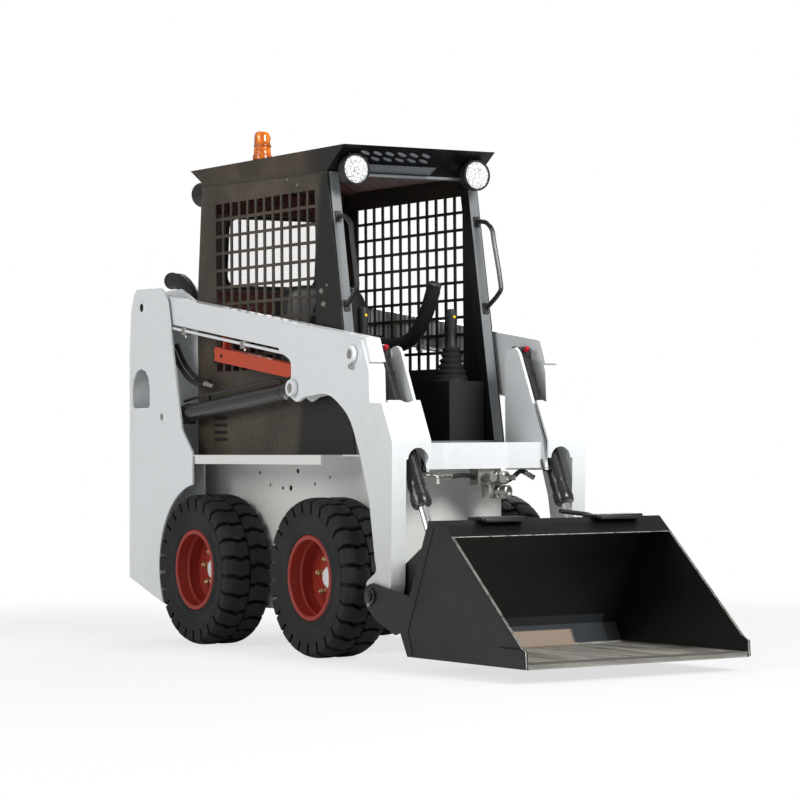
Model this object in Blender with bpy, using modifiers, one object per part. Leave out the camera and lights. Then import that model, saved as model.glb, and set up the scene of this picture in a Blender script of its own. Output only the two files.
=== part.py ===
"""A small skid steer loader: four driven wheels, side uprights with lift arms, an open mesh cab and a bucket.

Metres, +Z up. The front is -Y, the machine's right side is -X, the ground is z = 0, and the origin lies
on the ground under the middle of the whole machine. Outlines are tables of (y, z, corner radius).
"""
import math

import bpy
import bmesh
from mathutils import Matrix, Vector

GAP = 0.0003                      # between faces that touch
RUN = 0.0003                      # radial clearance of a pin in its bore
CLEAR = 0.006                     # between pieces that move past each other

# Overall places along the machine
FRONT_AXLE_Y = -0.039
WHEELBASE = 0.8864
REAR_AXLE_Y = FRONT_AXLE_Y + WHEELBASE

# Wheels
TYRE_RADIUS = 0.2925
TYRE_HALF_WIDTH = 0.0985
WHEEL_X = 0.356                   # middle plane of the tyre
RIM_HALF_WIDTH = 0.089
RIM_FLANGE_RADIUS = 0.157
BEAD_RADIUS = 0.147
RIM_WALL = 0.006
DISC_FACE = -0.004                # wheel disc's outer face, from the middle plane
DISC_THICK = 0.008
HUB_CAP_RADIUS = 0.041
HUB_CAP_PROUD = 0.016
WHEEL_STEPS = 28
AXLE_STEPS = 20

# Main frame
TUB_HALF = 0.235
TUB_FRONT_Y = -0.285
TUB_REAR_Y = 1.385
TUB_BOTTOM_Z = 0.145
DECK_Z = 0.740                    # top of the tub and of the ledges over the tyres
TUB_WALL = 0.006
LEDGE_OUT = 0.420
LEDGE_THICK = 0.0055
LEDGE_LIP = 0.035
LEDGE_FRONT_Y = -0.210
LEDGE_LIP_FRONT_Y = -0.088
LEDGE_REAR_Y = 0.885
REAR_SILL_Z = 0.262

# Uprights
PLATE = 0.008
UPRIGHT_OUT = 0.426
UPRIGHT_IN = 0.295
ARCH_RADIUS = 0.335
UPRIGHT_BACK_Y = 1.412
HOOD_HALF = 0.200
HOOD_Z = 1.200

# Lift arms
PIVOT = (1.316, 1.336)            # arm pivot on the uprights
ARM_IN = 0.346
ARM_OUT = 0.416
BEAM_OUT = 0.406
ARM_TOP = 0.0615                  # beam's top above the pivot, square to the beam
ARM_UNDER = 0.0435
ARM_SLOPE = 0.142                 # fall of the beam's top per metre forward
LEG_IN = 0.357
ARM_PIN = 0.022
ELBOW_WALL = 0.006
INNER_PLATE_X = 0.250
INNER_PLATE_THICK = 0.012

# Lift cylinders
LIFT_BASE = (1.146, 0.892)
LIFT_EYE = (0.111, 0.987)
LIFT_X = 0.376
LIFT_BARREL_R = 0.035
LIFT_ROD_R = 0.0175
LIFT_BARREL_END = 0.974           # gland face, from the base pin
LIFT_ROD_IN = 0.410               # rod's inner end at rest, from the base pin
LIFT_PIN = 0.016

# Tilt cylinders and bucket
TILT_TOP = (-0.315, 1.100)
TILT_EYE = (-0.680, 0.3893)
TILT_X = 0.306
TILT_BARREL_R = 0.032
TILT_ROD_R = 0.016
TILT_BARREL_END = 0.607
TILT_ROD_LENGTH = 0.600
TILT_PIN = 0.018
EYE_HALF = 0.019
BUCKET_PIVOT = (-0.442, 0.243)
BUCKET_PIN = 0.018
BUCKET_HALF = 0.460
BUCKET_WALL = 0.008
BUCKET_TIP_Y = -1.445
BUCKET_FLOOR_Z = 0.048
EDGE_THICK = 0.012
BACK_LOW = (-0.682, 0.128)        # lower end of the bucket's flat back
BACK_TOP = (-0.867, 0.517)
HITCH_THICK = 0.008

# Cab
CAB_HALF = 0.330
CAB_SHEET = 0.006
POST_FOOT = (-0.180, DECK_Z)
POST_HEAD = (0.000, 1.785)
POST_WIDE = 0.040
POST_DEEP = 0.055
ROOF_Z = 1.8735
ROOF_HALF = 0.332
MESH_PITCH_Y = 0.0655
MESH_PITCH_Z = 0.0669
MESH_HOLE_Y = 0.0515
MESH_HOLE_Z = 0.0555
MESH_COLUMNS = 12
MESH_ROWS = 10
MESH_REAR_Y = 0.865
MESH_TOP_Z = 1.724
SEAT_BAR_PIVOT = (0.690, 1.200)
LAMP_RADIUS = 0.0576

SIDES = (("right", -1), ("left", 1))

MATERIALS = {
    # name: (colour, roughness, metallic)
    "white_paint": ((0.80, 0.82, 0.82, 1), 0.40, 0.0),
    "black_paint": ((0.03, 0.03, 0.03, 1), 0.50, 0.0),
    "cab_brown": ((0.075, 0.062, 0.052, 1), 0.55, 0.0),
    "post_grey": ((0.20, 0.21, 0.22, 1), 0.45, 0.0),
    "rubber": ((0.02, 0.02, 0.02, 1), 0.85, 0.0),
    "rim_red": ((0.42, 0.05, 0.035, 1), 0.45, 0.0),
    "worn_steel": ((0.30, 0.29, 0.27, 1), 0.40, 0.9),
    "chrome": ((0.75, 0.76, 0.78, 1), 0.12, 1.0),
    "lock_orange": ((0.60, 0.10, 0.04, 1), 0.50, 0.0),
    "amber": ((0.90, 0.35, 0.02, 1), 0.20, 0.0),
    "lamp_glass": ((0.80, 0.80, 0.78, 1), 0.15, 0.0),
    "clear_glass": ((0.85, 0.90, 0.90, 1), 0.05, 0.0),
    "seat_black": ((0.03, 0.03, 0.03, 1), 0.80, 0.0),
    "engine_grey": ((0.12, 0.12, 0.12, 1), 0.60, 0.3),
}

parts = bpy.data.collections.new("skid_steer_loader")
cutters = bpy.data.collections.new("cutters")
tools_of = {}


def clear_scene():
    for thing in list(bpy.data.objects):
        bpy.data.objects.remove(thing, do_unlink=True)


def material(name):
    made = bpy.data.materials.get(name)
    if made is None:
        colour, rough, metal = MATERIALS[name]
        made = bpy.data.materials.new(name)
        made.use_nodes = True
        shader = made.node_tree.nodes["Principled BSDF"]
        shader.inputs["Base Color"].default_value = colour
        shader.inputs["Roughness"].default_value = rough
        shader.inputs["Metallic"].default_value = metal
    return made


# --- shapes ---------------------------------------------------------------------------------

def mesh_object(name, mesh):
    made = bpy.data.objects.new(name, mesh)
    parts.objects.link(made)
    return made


def box(name, low, high):
    """A box between two corners, given in any order."""
    low, high = Vector(low), Vector(high)
    size = high - low
    shape = bmesh.new()
    scale = Matrix.Diagonal((abs(size.x), abs(size.y), abs(size.z), 1))
    bmesh.ops.create_cube(shape, size=1, matrix=Matrix.Translation((low + high) / 2) @ scale)
    mesh = bpy.data.meshes.new(name)
    shape.to_mesh(mesh)
    shape.free()
    return mesh_object(name, mesh)


def rod_between(name, start, end, radius, end_radius=None, segments=20):
    """A round bar or cone from one point to another."""
    start, end = Vector(start), Vector(end)
    along = end - start
    turn = along.to_track_quat("Z", "Y").to_matrix().to_4x4()
    shape = bmesh.new()
    bmesh.ops.create_cone(shape, cap_ends=True, segments=segments, radius1=radius,
                          radius2=radius if end_radius is None else end_radius, depth=along.length,
                          matrix=Matrix.Translation((start + end) / 2) @ turn)
    mesh = bpy.data.meshes.new(name)
    shape.to_mesh(mesh)
    shape.free()
    mesh.shade_smooth()
    mesh.set_sharp_from_angle(angle=math.radians(35))
    return mesh_object(name, mesh)


def cross_rod(name, x0, x1, place, radius, segments=20):
    """A round bar along X at place (y, z)."""
    return rod_between(name, (x0, *place), (x1, *place), radius, segments=segments)


def rounded(outline, steps=3):
    """The outline's corner points, each replaced by an arc where its row gives a radius."""
    points = []
    count = len(outline)
    for i, row in enumerate(outline):
        corner = Vector(row[:2])
        radius = row[2] if len(row) > 2 else 0
        if not radius:
            points.append(corner)
            continue
        to_last = (Vector(outline[i - 1][:2]) - corner).normalized()
        to_next = (Vector(outline[(i + 1) % count][:2]) - corner).normalized()
        half = math.acos(max(-1, min(1, to_last.dot(to_next)))) / 2
        middle = corner + (to_last + to_next).normalized() * radius / math.sin(half)
        start = corner + to_last * radius / math.tan(half) - middle
        end = corner + to_next * radius / math.tan(half) - middle
        sweep = math.copysign(math.pi - 2 * half, start.x * end.y - start.y * end.x)
        for k in range(steps + 1):
            spin = Matrix.Rotation(sweep * k / steps, 2)
            points.append(middle + spin @ start)
    return points


AXIS_FRAMES = {
    # extrusion axis: columns are the outline's first and second direction and the extrusion
    "X": Matrix(((0, 0, 1), (1, 0, 0), (0, 1, 0))),
    "Y": Matrix(((0, 1, 0), (0, 0, 1), (1, 0, 0))),
    "Z": Matrix(((1, 0, 0), (0, 1, 0), (0, 0, 1))),
}


def prism(name, outline, low, high, axis="X", steps=3):
    """A flat outline given thickness along an axis: (y, z) along X, (z, x) along Y, (x, y) along Z."""
    low, high = min(low, high), max(low, high)
    curve = bpy.data.curves.new(name, "CURVE")
    curve.dimensions = "2D"
    curve.fill_mode = "BOTH"
    curve.extrude = (high - low) / 2
    points = rounded(outline, steps)
    line = curve.splines.new("POLY")
    line.points.add(len(points) - 1)
    for slot, point in zip(line.points, points):
        slot.co = (point.x, point.y, 0, 1)
    line.use_cyclic_u = True
    return solid_from_curve(name, curve, AXIS_FRAMES[axis].to_4x4() @ Matrix.Translation((0, 0, (low + high) / 2)))


def solid_from_curve(name, curve, place):
    """The curve as one closed mesh object."""
    guide = bpy.data.objects.new(name + "_curve", curve)
    parts.objects.link(guide)
    shaped = guide.evaluated_get(bpy.context.evaluated_depsgraph_get())
    mesh = bpy.data.meshes.new_from_object(shaped)
    bpy.data.objects.remove(guide, do_unlink=True)
    mesh.name = name
    shape = bmesh.new()
    shape.from_mesh(mesh)
    bmesh.ops.remove_doubles(shape, verts=shape.verts, dist=1e-5)
    bmesh.ops.transform(shape, matrix=place, verts=shape.verts)
    bmesh.ops.recalc_face_normals(shape, faces=shape.faces)
    shape.to_mesh(mesh)
    shape.free()
    return mesh_object(name, mesh)


def tube(name, points, radius, sides=2, smooth_steps=4):
    """A round tube along a smooth line through the points."""
    curve = bpy.data.curves.new(name, "CURVE")
    curve.dimensions = "3D"
    curve.bevel_depth = radius
    curve.bevel_resolution = sides
    curve.use_fill_caps = True
    line = curve.splines.new("POLY")
    route = smooth_route(points, smooth_steps)
    line.points.add(len(route) - 1)
    for slot, point in zip(line.points, route):
        slot.co = (*point, 1)
    return solid_from_curve(name, curve, Matrix.Identity(4))


def smooth_route(points, steps):
    """Points on a Catmull-Rom curve through the given ones."""
    points = [Vector(p) for p in points]
    ends = [2 * points[0] - points[1]] + points + [2 * points[-1] - points[-2]]
    route = []
    for a, b, c, d in zip(ends, ends[1:], ends[2:], ends[3:]):
        for k in range(steps):
            t = k / steps
            route.append((2 * b + (c - a) * t + (2 * a - 5 * b + 4 * c - d) * t ** 2
                          + (3 * b - a - 3 * c + d) * t ** 3) / 2)
    route.append(points[-1])
    return route


def turned(name, profile, centre, side, closed=False, steps=WHEEL_STEPS):
    """A profile of (radius, offset along the axis) turned about X, offset growing away from the machine."""
    mesh = bpy.data.meshes.new(name)
    count = len(profile)
    edges = [(i, i + 1) for i in range(count - 1)]
    if closed:
        edges.append((count - 1, 0))
    mesh.from_pydata([(r, 0, offset) for r, offset in profile], edges, [])
    made = mesh_object(name, mesh)
    screw = made.modifiers.new("turn", "SCREW")
    screw.axis = "Z"
    screw.angle = 2 * math.pi
    screw.steps = screw.render_steps = steps
    screw.use_merge_vertices = True
    screw.merge_threshold = 1e-5
    screw.use_smooth_shade = True
    made.location = centre
    made.rotation_euler = (0, side * math.pi / 2, 0)
    return made


# --- joining and cutting --------------------------------------------------------------------

def hide_tool(tool):
    tool.hide_render = True
    tool.display_type = "WIRE"
    parts.objects.unlink(tool)
    cutters.objects.link(tool)


def boolean(target, tool, operation):
    step = target.modifiers.new(tool.name, "BOOLEAN")
    step.operation = operation
    step.object = tool
    step.solver = "EXACT"
    hide_tool(tool)
    tools_of.setdefault(target.name, []).append(tool)
    return target


def join(target, *tools):
    for tool in tools:
        boolean(target, tool, "UNION")
    return target


def cut(target, *tools):
    for tool in tools:
        boolean(target, tool, "DIFFERENCE")
    return target


def finish(piece, paint):
    piece.data.materials.clear()
    piece.data.materials.append(material(paint))
    return piece


def all_tools(piece):
    found = []
    for tool in tools_of.get(piece.name, []):
        found.append(tool)
        found.extend(all_tools(tool))
    return found


def body(name, place, pieces):
    """An empty on a joint's axis that carries the pieces of one moving body."""
    hub = bpy.data.objects.new(name, None)
    hub.location = place
    parts.objects.link(hub)
    shift = Matrix.Translation(-Vector(place))
    for piece in pieces:
        for member in [piece] + all_tools(piece):
            if member.location.length:
                member.location = member.location - Vector(place)
            else:
                member.data.transform(shift)
            member.parent = hub
    return hub


# --- chassis ---------------------------------------------------------------------------------

def main_frame():
    """The welded tub between the wheels, open on top and behind, with the ledges over the tyres."""
    outline = [(TUB_FRONT_Y, DECK_Z), (TUB_FRONT_Y, 0.300), (-0.170, TUB_BOTTOM_Z), (1.300, TUB_BOTTOM_Z),
               (TUB_REAR_Y, 0.190), (TUB_REAR_Y, DECK_Z)]
    front, rear = TUB_FRONT_Y + TUB_WALL, TUB_REAR_Y - TUB_WALL
    floor = TUB_BOTTOM_Z + PLATE
    hollow = [(front, DECK_Z + 0.05), (front, 0.303), (-0.167, floor), (1.296, floor), (rear, 0.196),
              (rear, DECK_Z + 0.05)]
    frame = prism("main_frame", outline, -TUB_HALF, TUB_HALF)
    inside = prism("tub_inside", hollow, TUB_WALL - TUB_HALF, TUB_HALF - TUB_WALL)
    mouth = box("tub_mouth", (TUB_WALL - TUB_HALF, rear - 0.05, REAR_SILL_Z),
                (TUB_HALF - TUB_WALL, TUB_REAR_Y + 0.05, DECK_Z + 0.05))
    cut(frame, inside, mouth)
    for side_name, side in SIDES:
        lip_in = LEDGE_OUT - LEDGE_THICK
        section = [(DECK_Z, TUB_HALF - 0.004), (DECK_Z, LEDGE_OUT), (DECK_Z - LEDGE_LIP, LEDGE_OUT),
                   (DECK_Z - LEDGE_LIP, lip_in), (DECK_Z - LEDGE_THICK, lip_in),
                   (DECK_Z - LEDGE_THICK, TUB_HALF - 0.004)]
        ledge = prism("ledge_" + side_name, [(z, side * x) for z, x in section], LEDGE_FRONT_Y, LEDGE_REAR_Y, "Y")
        corner = box("ledge_corner_" + side_name, (side * CAB_HALF, LEDGE_FRONT_Y - 0.05, DECK_Z - 0.1),
                     (side * (LEDGE_OUT + 0.05), LEDGE_LIP_FRONT_Y, DECK_Z + 0.05))
        join(frame, cut(ledge, corner))
    return finish(frame, "white_paint")


UPRIGHT_OUTER = [(1.445, 0.241), (1.431, 1.169), (1.414, 1.330, 0.100), (1.378, 1.412, 0.040),
                 (1.144, 1.408, 0.030), (1.102, 1.358, 0.030), (0.981, 0.839, 0.040), (0.895, 0.752, 0.020),
                 (0.895, 0.500), (1.145, 0.148)]
UPRIGHT_INNER = [(UPRIGHT_BACK_Y, 0.232), (1.160, 0.152), (1.028, 0.450), (1.028, 1.200), (1.098, 1.360, 0.020), (1.210, 1.410, 0.020),
                 (1.380, 1.405, 0.030), (UPRIGHT_BACK_Y, 1.310)]
UPRIGHT_SLOT = [(1.255, 0.930, 0.015), (1.406, 0.930, 0.015), (1.406, 1.089, 0.0754), (1.255, 1.089, 0.0754)]


def upright(side_name, side):
    """Two plates with the arm's pivot and the lift cylinder's base pin between them."""
    outer_in = UPRIGHT_OUT - PLATE
    frame = prism("rear_upright_" + side_name, UPRIGHT_OUTER, side * outer_in, side * UPRIGHT_OUT)
    slot = prism("slot_" + side_name, UPRIGHT_SLOT, side * (outer_in - 0.01), side * (UPRIGHT_OUT + 0.01))
    cut(frame, slot)
    inner = prism("inner_plate_" + side_name, UPRIGHT_INNER, side * UPRIGHT_IN, side * (UPRIGHT_IN + PLATE))
    near_tub = TUB_HALF + GAP
    tag = "_" + side_name
    seam = 0.004                       # how far a welded plate runs into its neighbour
    into_outer = outer_in + seam
    back = box("back" + tag, (side * (UPRIGHT_IN + seam), UPRIGHT_BACK_Y - seam, 0.235),
               (side * into_outer, UPRIGHT_BACK_Y + seam, 1.320))
    ledge = box("rear_ledge" + tag, (side * near_tub, LEDGE_REAR_Y + GAP, DECK_Z - LEDGE_THICK),
                (side * into_outer, TUB_REAR_Y, DECK_Z))
    tyre_wall_y = REAR_AXLE_Y + ARCH_RADIUS + seam
    tyre_wall = box("tyre_wall" + tag, (side * near_tub, tyre_wall_y, 0.168),
                    (side * into_outer, tyre_wall_y + PLATE, DECK_Z - 0.001))
    floor_line = [(tyre_wall_y, 0.166), (UPRIGHT_BACK_Y, 0.236), (UPRIGHT_BACK_Y, 0.242), (tyre_wall_y, 0.172)]
    floor = prism("floor" + tag, floor_line, side * near_tub, side * into_outer)
    deck = box("deck_strip" + tag, (side * (HOOD_HALF + CLEAR), 1.046, HOOD_Z - PLATE),
               (side * (UPRIGHT_IN + seam), UPRIGHT_BACK_Y - 0.02, HOOD_Z))
    hood_block = box("hood_block" + tag, (side * (HOOD_HALF + CLEAR), 1.050, HOOD_Z - 0.002),
                     (side * (HOOD_HALF + 0.03), 1.074, HOOD_Z + 0.026))
    arch = cross_rod("arch" + tag, side * 0.240, side * (UPRIGHT_OUT + 0.02), (REAR_AXLE_Y, TYRE_RADIUS),
                     ARCH_RADIUS, segments=48)
    pivot_pin = cross_rod("pivot_pin" + tag, side * (UPRIGHT_IN + seam), side * into_outer, PIVOT, ARM_PIN)
    base_pin = cross_rod("base_pin" + tag, side * (UPRIGHT_IN + seam), side * into_outer, LIFT_BASE, LIFT_PIN)
    join(frame, back, ledge, inner, tyre_wall, floor, deck, hood_block)
    cut(frame, arch)
    join(frame, pivot_pin, base_pin)
    if side > 0:
        for name, low in (("low", DOOR_LOW_Z - GAP - 0.010), ("high", DOOR_HIGH_Z + GAP)):
            tab = box("door_tab_" + name, (DOOR_AXIS[0] - 0.020, DOOR_AXIS[1] - 0.013, low),
                      (UPRIGHT_IN + seam, DOOR_AXIS[1] + 0.011, low + 0.010))
            join(frame, tab)
    return finish(frame, "white_paint")


def stub_axle(end_name, y, side_name, side):
    """A turned axle housing between the tub's side and the wheel disc."""
    inner = TUB_HALF + GAP - WHEEL_X
    face = DISC_FACE - DISC_THICK - GAP
    profile = [(0, face), (0.082, face), (0.082, face - 0.012), (0.040, face - 0.016), (0.040, -0.070),
               (0.062, inner + 0.014), (0.075, inner), (0, inner)]
    name = "%s_axle_%s" % (end_name, side_name)
    axle = turned(name, profile, (side * WHEEL_X, y, TYRE_RADIUS), side, steps=AXLE_STEPS)
    return finish(axle, "black_paint")


def rim(end_name, y, side_name, side):
    """A dished steel wheel with its hub cap."""
    wall = BEAD_RADIUS - RIM_WALL
    lip = RIM_HALF_WIDTH - 0.005
    back = DISC_FACE - DISC_THICK
    cap = DISC_FACE + HUB_CAP_PROUD
    profile = [(0, cap), (HUB_CAP_RADIUS - 0.005, cap), (HUB_CAP_RADIUS, DISC_FACE), (0.090, DISC_FACE),
               (0.115, DISC_FACE - 0.008), (wall, DISC_FACE - 0.003), (wall, RIM_HALF_WIDTH), (RIM_FLANGE_RADIUS, RIM_HALF_WIDTH),
               (RIM_FLANGE_RADIUS, lip), (BEAD_RADIUS, lip), (BEAD_RADIUS, -lip), (RIM_FLANGE_RADIUS, -lip),
               (RIM_FLANGE_RADIUS, -RIM_HALF_WIDTH), (wall, -RIM_HALF_WIDTH), (wall, back - 0.007), (0.110, back - 0.008),
               (0.090, back), (0, back)]
    name = "%s_rim_%s" % (end_name, side_name)
    return finish(turned(name, profile, (side * WHEEL_X, y, TYRE_RADIUS), side), "rim_red")


def tyre(end_name, y, side_name, side):
    """A solid block tyre over the rim's bead seats and flanges."""
    seat = BEAD_RADIUS + GAP
    over = RIM_FLANGE_RADIUS + GAP
    lip = RIM_HALF_WIDTH - 0.005 - GAP
    wide = TYRE_HALF_WIDTH
    half = [(seat, lip), (over, lip), (over + 0.004, wide - 0.005), (TYRE_RADIUS - 0.0775, wide),
            (TYRE_RADIUS - 0.0305, wide - 0.006),
            (TYRE_RADIUS, wide - 0.026)]
    profile = half + [(r, -offset) for r, offset in reversed(half)]
    name = "%s_tyre_%s" % (end_name, side_name)
    return finish(turned(name, profile, (side * WHEEL_X, y, TYRE_RADIUS), side, closed=True), "rubber")


def engine():
    """The engine and its pump as one plain block on the tub's floor."""
    block = box("engine_block", (-0.190, 1.050, TUB_BOTTOM_Z + PLATE + GAP), (0.190, 1.290, 0.800))
    return finish(block, "engine_grey")


DOOR_AXIS = (0.275, 1.405)
DOOR_LOW_Z = 0.280
DOOR_HIGH_Z = 1.130
DOOR_HALF_THICK = 0.012


def rear_door():
    """The tail door, a framed sheet with a grille opening left to the finish."""
    door = box("rear_door", (-0.285, DOOR_AXIS[1] - DOOR_HALF_THICK, DOOR_LOW_Z),
               (DOOR_AXIS[0] + 0.008, DOOR_AXIS[1] + DOOR_HALF_THICK, DOOR_HIGH_Z))
    return finish(door, "white_paint")


HOOD_AXIS = (1.062, HOOD_Z + 0.014)


def engine_hood():
    """The engine cover with a stub hinge pin on each side at its front edge."""
    low, rear = HOOD_Z - 0.022, UPRIGHT_BACK_Y - 0.004
    outline = [(HOOD_AXIS[0] - 0.010, low), (rear, low), (rear, HOOD_Z - 0.004), (rear - 0.04, HOOD_Z + 0.016, 0.02),
               (HOOD_AXIS[0] - 0.010, HOOD_Z + 0.026, 0.008)]
    hood = prism("engine_hood", outline, -HOOD_HALF, HOOD_HALF)
    for side_name, side in SIDES:
        pin = cross_rod("hood_pin_" + side_name, side * (HOOD_HALF - 0.01), side * (HOOD_HALF + CLEAR - GAP),
                        HOOD_AXIS, 0.006, segments=16)
        join(hood, pin)
    return finish(hood, "white_paint")


def exhaust_elbow():
    """The exhaust outlet, standing on the right deck strip and bent to the rear."""
    x, foot_z = -0.258, HOOD_Z + GAP
    elbow = tube("exhaust_elbow", [(x, 1.180, foot_z + 0.004), (x, 1.182, 1.300), (x, 1.212, 1.385),
                                   (x, 1.285, 1.440), (x, 1.375, 1.452)], 0.034, sides=3)
    flange = box("exhaust_flange", (x - 0.036, 1.140, foot_z), (x + 0.036, 1.220, foot_z + 0.008))
    return finish(join(elbow, flange), "black_paint")


# --- cab -------------------------------------------------------------------------------------

def post_line(z):
    """The front line of the cab's posts at a height."""
    share = (z - POST_FOOT[1]) / (POST_HEAD[1] - POST_FOOT[1])
    return POST_FOOT[0] + share * (POST_HEAD[0] - POST_FOOT[0])


def mesh_holes(name, x0, x1):
    """A block of square holes with one column less in its top row."""
    hole = box(name, (x0, MESH_REAR_Y - MESH_HOLE_Y, MESH_TOP_Z - MESH_HOLE_Z), (x1, MESH_REAR_Y, MESH_TOP_Z))
    for count, axis, pitch in ((MESH_COLUMNS, 1, -MESH_PITCH_Y), (MESH_ROWS, 2, -MESH_PITCH_Z)):
        repeat = hole.modifiers.new("repeat", "ARRAY")
        repeat.count = count
        repeat.use_relative_offset = False
        repeat.use_constant_offset = True
        repeat.constant_offset_displace = [pitch if i == axis else 0 for i in range(3)]
        repeat.use_merge_vertices = False
    return hole


def cab_side(side_name, side):
    """One side sheet of the cab, punched with the mesh window."""
    foot = DECK_Z + GAP
    outline = [(post_line(foot), foot), (1.020, foot), (1.020, 1.356), (0.977, 1.807 - GAP),
               (0.006, 1.785 - GAP)]
    sheet = prism("cab_side_" + side_name, outline, side * (CAB_HALF - CAB_SHEET), side * CAB_HALF)
    cut(sheet, mesh_holes("mesh_" + side_name, side * (CAB_HALF - 0.05), side * (CAB_HALF + 0.05)))
    return finish(sheet, "cab_brown")


def cab_front_frame():
    """Both front posts with the header under the roof and the sill on the deck."""
    inside = CAB_HALF - CAB_SHEET - GAP
    foot, head = DECK_Z + GAP, 1.785 - 0.001
    outline = [(post_line(foot), foot), (post_line(foot) + POST_DEEP, foot), (post_line(head) + POST_DEEP, head),
               (post_line(head), head)]
    posts = [prism("post_" + name, outline, side * (inside - POST_WIDE), side * inside) for name, side in SIDES]
    sill = box("sill", (-inside + 0.01, post_line(foot) + 0.010, foot), (inside - 0.01, post_line(foot) + 0.050, 0.788))
    header = box("header", (-inside + 0.01, 0.004, 1.774), (inside - 0.01, 0.045, 1.7835))
    frame = join(posts[0], header, sill, posts[1])
    frame.name = "cab_front_frame"
    tools_of["cab_front_frame"] = tools_of.pop("post_right")
    return finish(frame, "post_grey")


LAMP_X, LAMP_Z = 0.266, 1.786
LAMP_FRONT_Y, LAMP_BACK_Y = -0.095, -0.050
LAMP_POCKET_Y = -0.028


def cab_roof():
    """A folded roof tray with an overhanging front visor, hollow from below."""
    outline = [(-0.122, ROOF_Z), (1.069, ROOF_Z), (0.977, 1.820), (0.977, 1.807), (0.006, 1.785)]
    roof = prism("cab_roof", outline, -ROOF_HALF, ROOF_HALF)
    inside = box("roof_inside", (-CAB_HALF + 0.006, 0.050, 1.700), (CAB_HALF - 0.006, 0.955, ROOF_Z - 0.0055))
    cut(roof, inside)
    for side_name, side in SIDES:
        cut(roof, rod_between("lamp_pocket_" + side_name, (side * LAMP_X, -0.200, LAMP_Z),
                              (side * LAMP_X, LAMP_POCKET_Y, LAMP_Z), LAMP_RADIUS + CLEAR))
    return finish(roof, "black_paint")


def cab_back():
    """The rear sheet of the cab with its window cut, folded down to the deck."""
    inside = CAB_HALF - CAB_SHEET - GAP
    foot = DECK_Z + GAP
    outline = [(0.9700, 1.800), (0.9760, 1.800), (1.0180, 1.340), (1.0180, foot), (1.0120, foot), (1.0120, 1.340)]
    sheet = prism("cab_back", outline, -inside, inside)
    cut(sheet, prism("rear_window_hole", window_outline(0), 0.900, 1.100, "Y"))
    return finish(sheet, "cab_brown")


def window_outline(shrink):
    high, low, half, corner = 1.685, 1.412, 0.208, 0.045
    return [(low + shrink, shrink - half, corner), (low + shrink, half - shrink, corner),
            (high - shrink, half - shrink, corner), (high - shrink, shrink - half, corner)]


def rear_window():
    """The rear pane, standing in the sheet's window on its own slope."""
    slope = [(0.9713, 1.790), (0.9753, 1.790), (1.0170, 1.333), (1.0130, 1.333)]
    pane = prism("rear_window", slope, -0.300, 0.300)
    inside = prism("window_trim", window_outline(GAP * 2), 0.900, 1.100, "Y")
    boolean(pane, inside, "INTERSECT")
    return finish(pane, "clear_glass")


def seat_box():
    """The black moulded seat base with a control console on each side."""
    base = box("seat_box", (-0.250, 0.060, DECK_Z + GAP), (0.250, 0.660, 0.840))
    for side_name, side in SIDES:
        console = box("console_" + side_name, (side * 0.125, -0.110, DECK_Z + GAP),
                      (side * (CAB_HALF - CAB_SHEET - POST_WIDE - 0.004), 0.130, CONSOLE_Z))
        join(base, console)
    return finish(base, "black_paint")


def seat():
    """Cushion and backrest in one padded shell."""
    outline = [(0.170, 0.840 + GAP), (0.655, 0.840 + GAP), (0.670, 1.400, 0.030), (0.590, 1.400, 0.030),
               (0.570, 0.960, 0.030), (0.155, 0.945, 0.030)]
    return finish(prism("seat", outline, -0.190, 0.190), "seat_black")


def seat_bar():
    """Two padded side bars, joined behind the backrest, that swing up together."""
    y, z = SEAT_BAR_PIVOT
    reach = CAB_HALF - CAB_SHEET - GAP
    bar = cross_rod("seat_bar", -reach, reach, SEAT_BAR_PIVOT, 0.012)
    for side_name, side in SIDES:
        x = side * 0.235
        arm = tube("bar_arm_" + side_name, [(x, y + 0.004, z), (x, 0.560, 1.172), (x, 0.430, 1.162),
                                            (x, 0.310, 1.192), (x, 0.220, 1.275), (x, 0.150, 1.390)], 0.026, sides=2)
        join(bar, arm)
    return finish(bar, "seat_black")


CONSOLE_Z = 1.010
JOYSTICK = (0.195, -0.018)


def joystick(side_name, side):
    """A drive lever with its bellows boot, as turned from one profile, standing on the console."""
    x, y = side * JOYSTICK[0], JOYSTICK[1]
    foot = CONSOLE_Z + GAP
    boot = rod_between("joystick_" + side_name, (x, y, foot), (x, y, 1.150), 0.060, 0.028, segments=20)
    grip = rod_between("grip_" + side_name, (x, y, 1.140), (x, y - 0.004, 1.285), 0.019, 0.023, segments=16)
    return finish(join(boot, grip), "seat_black")


def work_lamp(side_name, side):
    """A round work lamp under the visor on a short stay."""
    x = side * LAMP_X
    lamp = rod_between("work_lamp_" + side_name, (x, LAMP_BACK_Y, LAMP_Z), (x, LAMP_FRONT_Y, LAMP_Z),
                       LAMP_RADIUS * 0.86, LAMP_RADIUS, segments=28)
    stay = box("lamp_stay_" + side_name, (x - 0.015, LAMP_BACK_Y - 0.010, 1.812), (x + 0.015, LAMP_POCKET_Y - GAP, 1.826))
    return finish(join(lamp, stay), "lamp_glass")


def rear_lamp():
    """The rear work lamp behind the cab's right rear corner."""
    x, z = -0.270, 1.782
    lamp = rod_between("rear_work_lamp", (x, 1.0135, z), (x, 1.085, z), 0.042, 0.050, segments=24)
    stay = box("rear_lamp_stay", (x - 0.012, 0.9794, z - 0.012), (x + 0.012, 1.020, z + 0.006))
    return finish(join(lamp, stay), "black_paint")


def beacon():
    """The amber beacon with its black foot on the roof."""
    x, y, z = -0.220, 0.680, ROOF_Z + GAP
    foot = rod_between("beacon", (x, y, z), (x, y, z + 0.034), 0.036, 0.034)
    dome = rod_between("beacon_dome", (x, y, z + 0.030), (x, y, z + 0.128), 0.032, 0.027)
    return finish(join(foot, dome), "amber")


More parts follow.
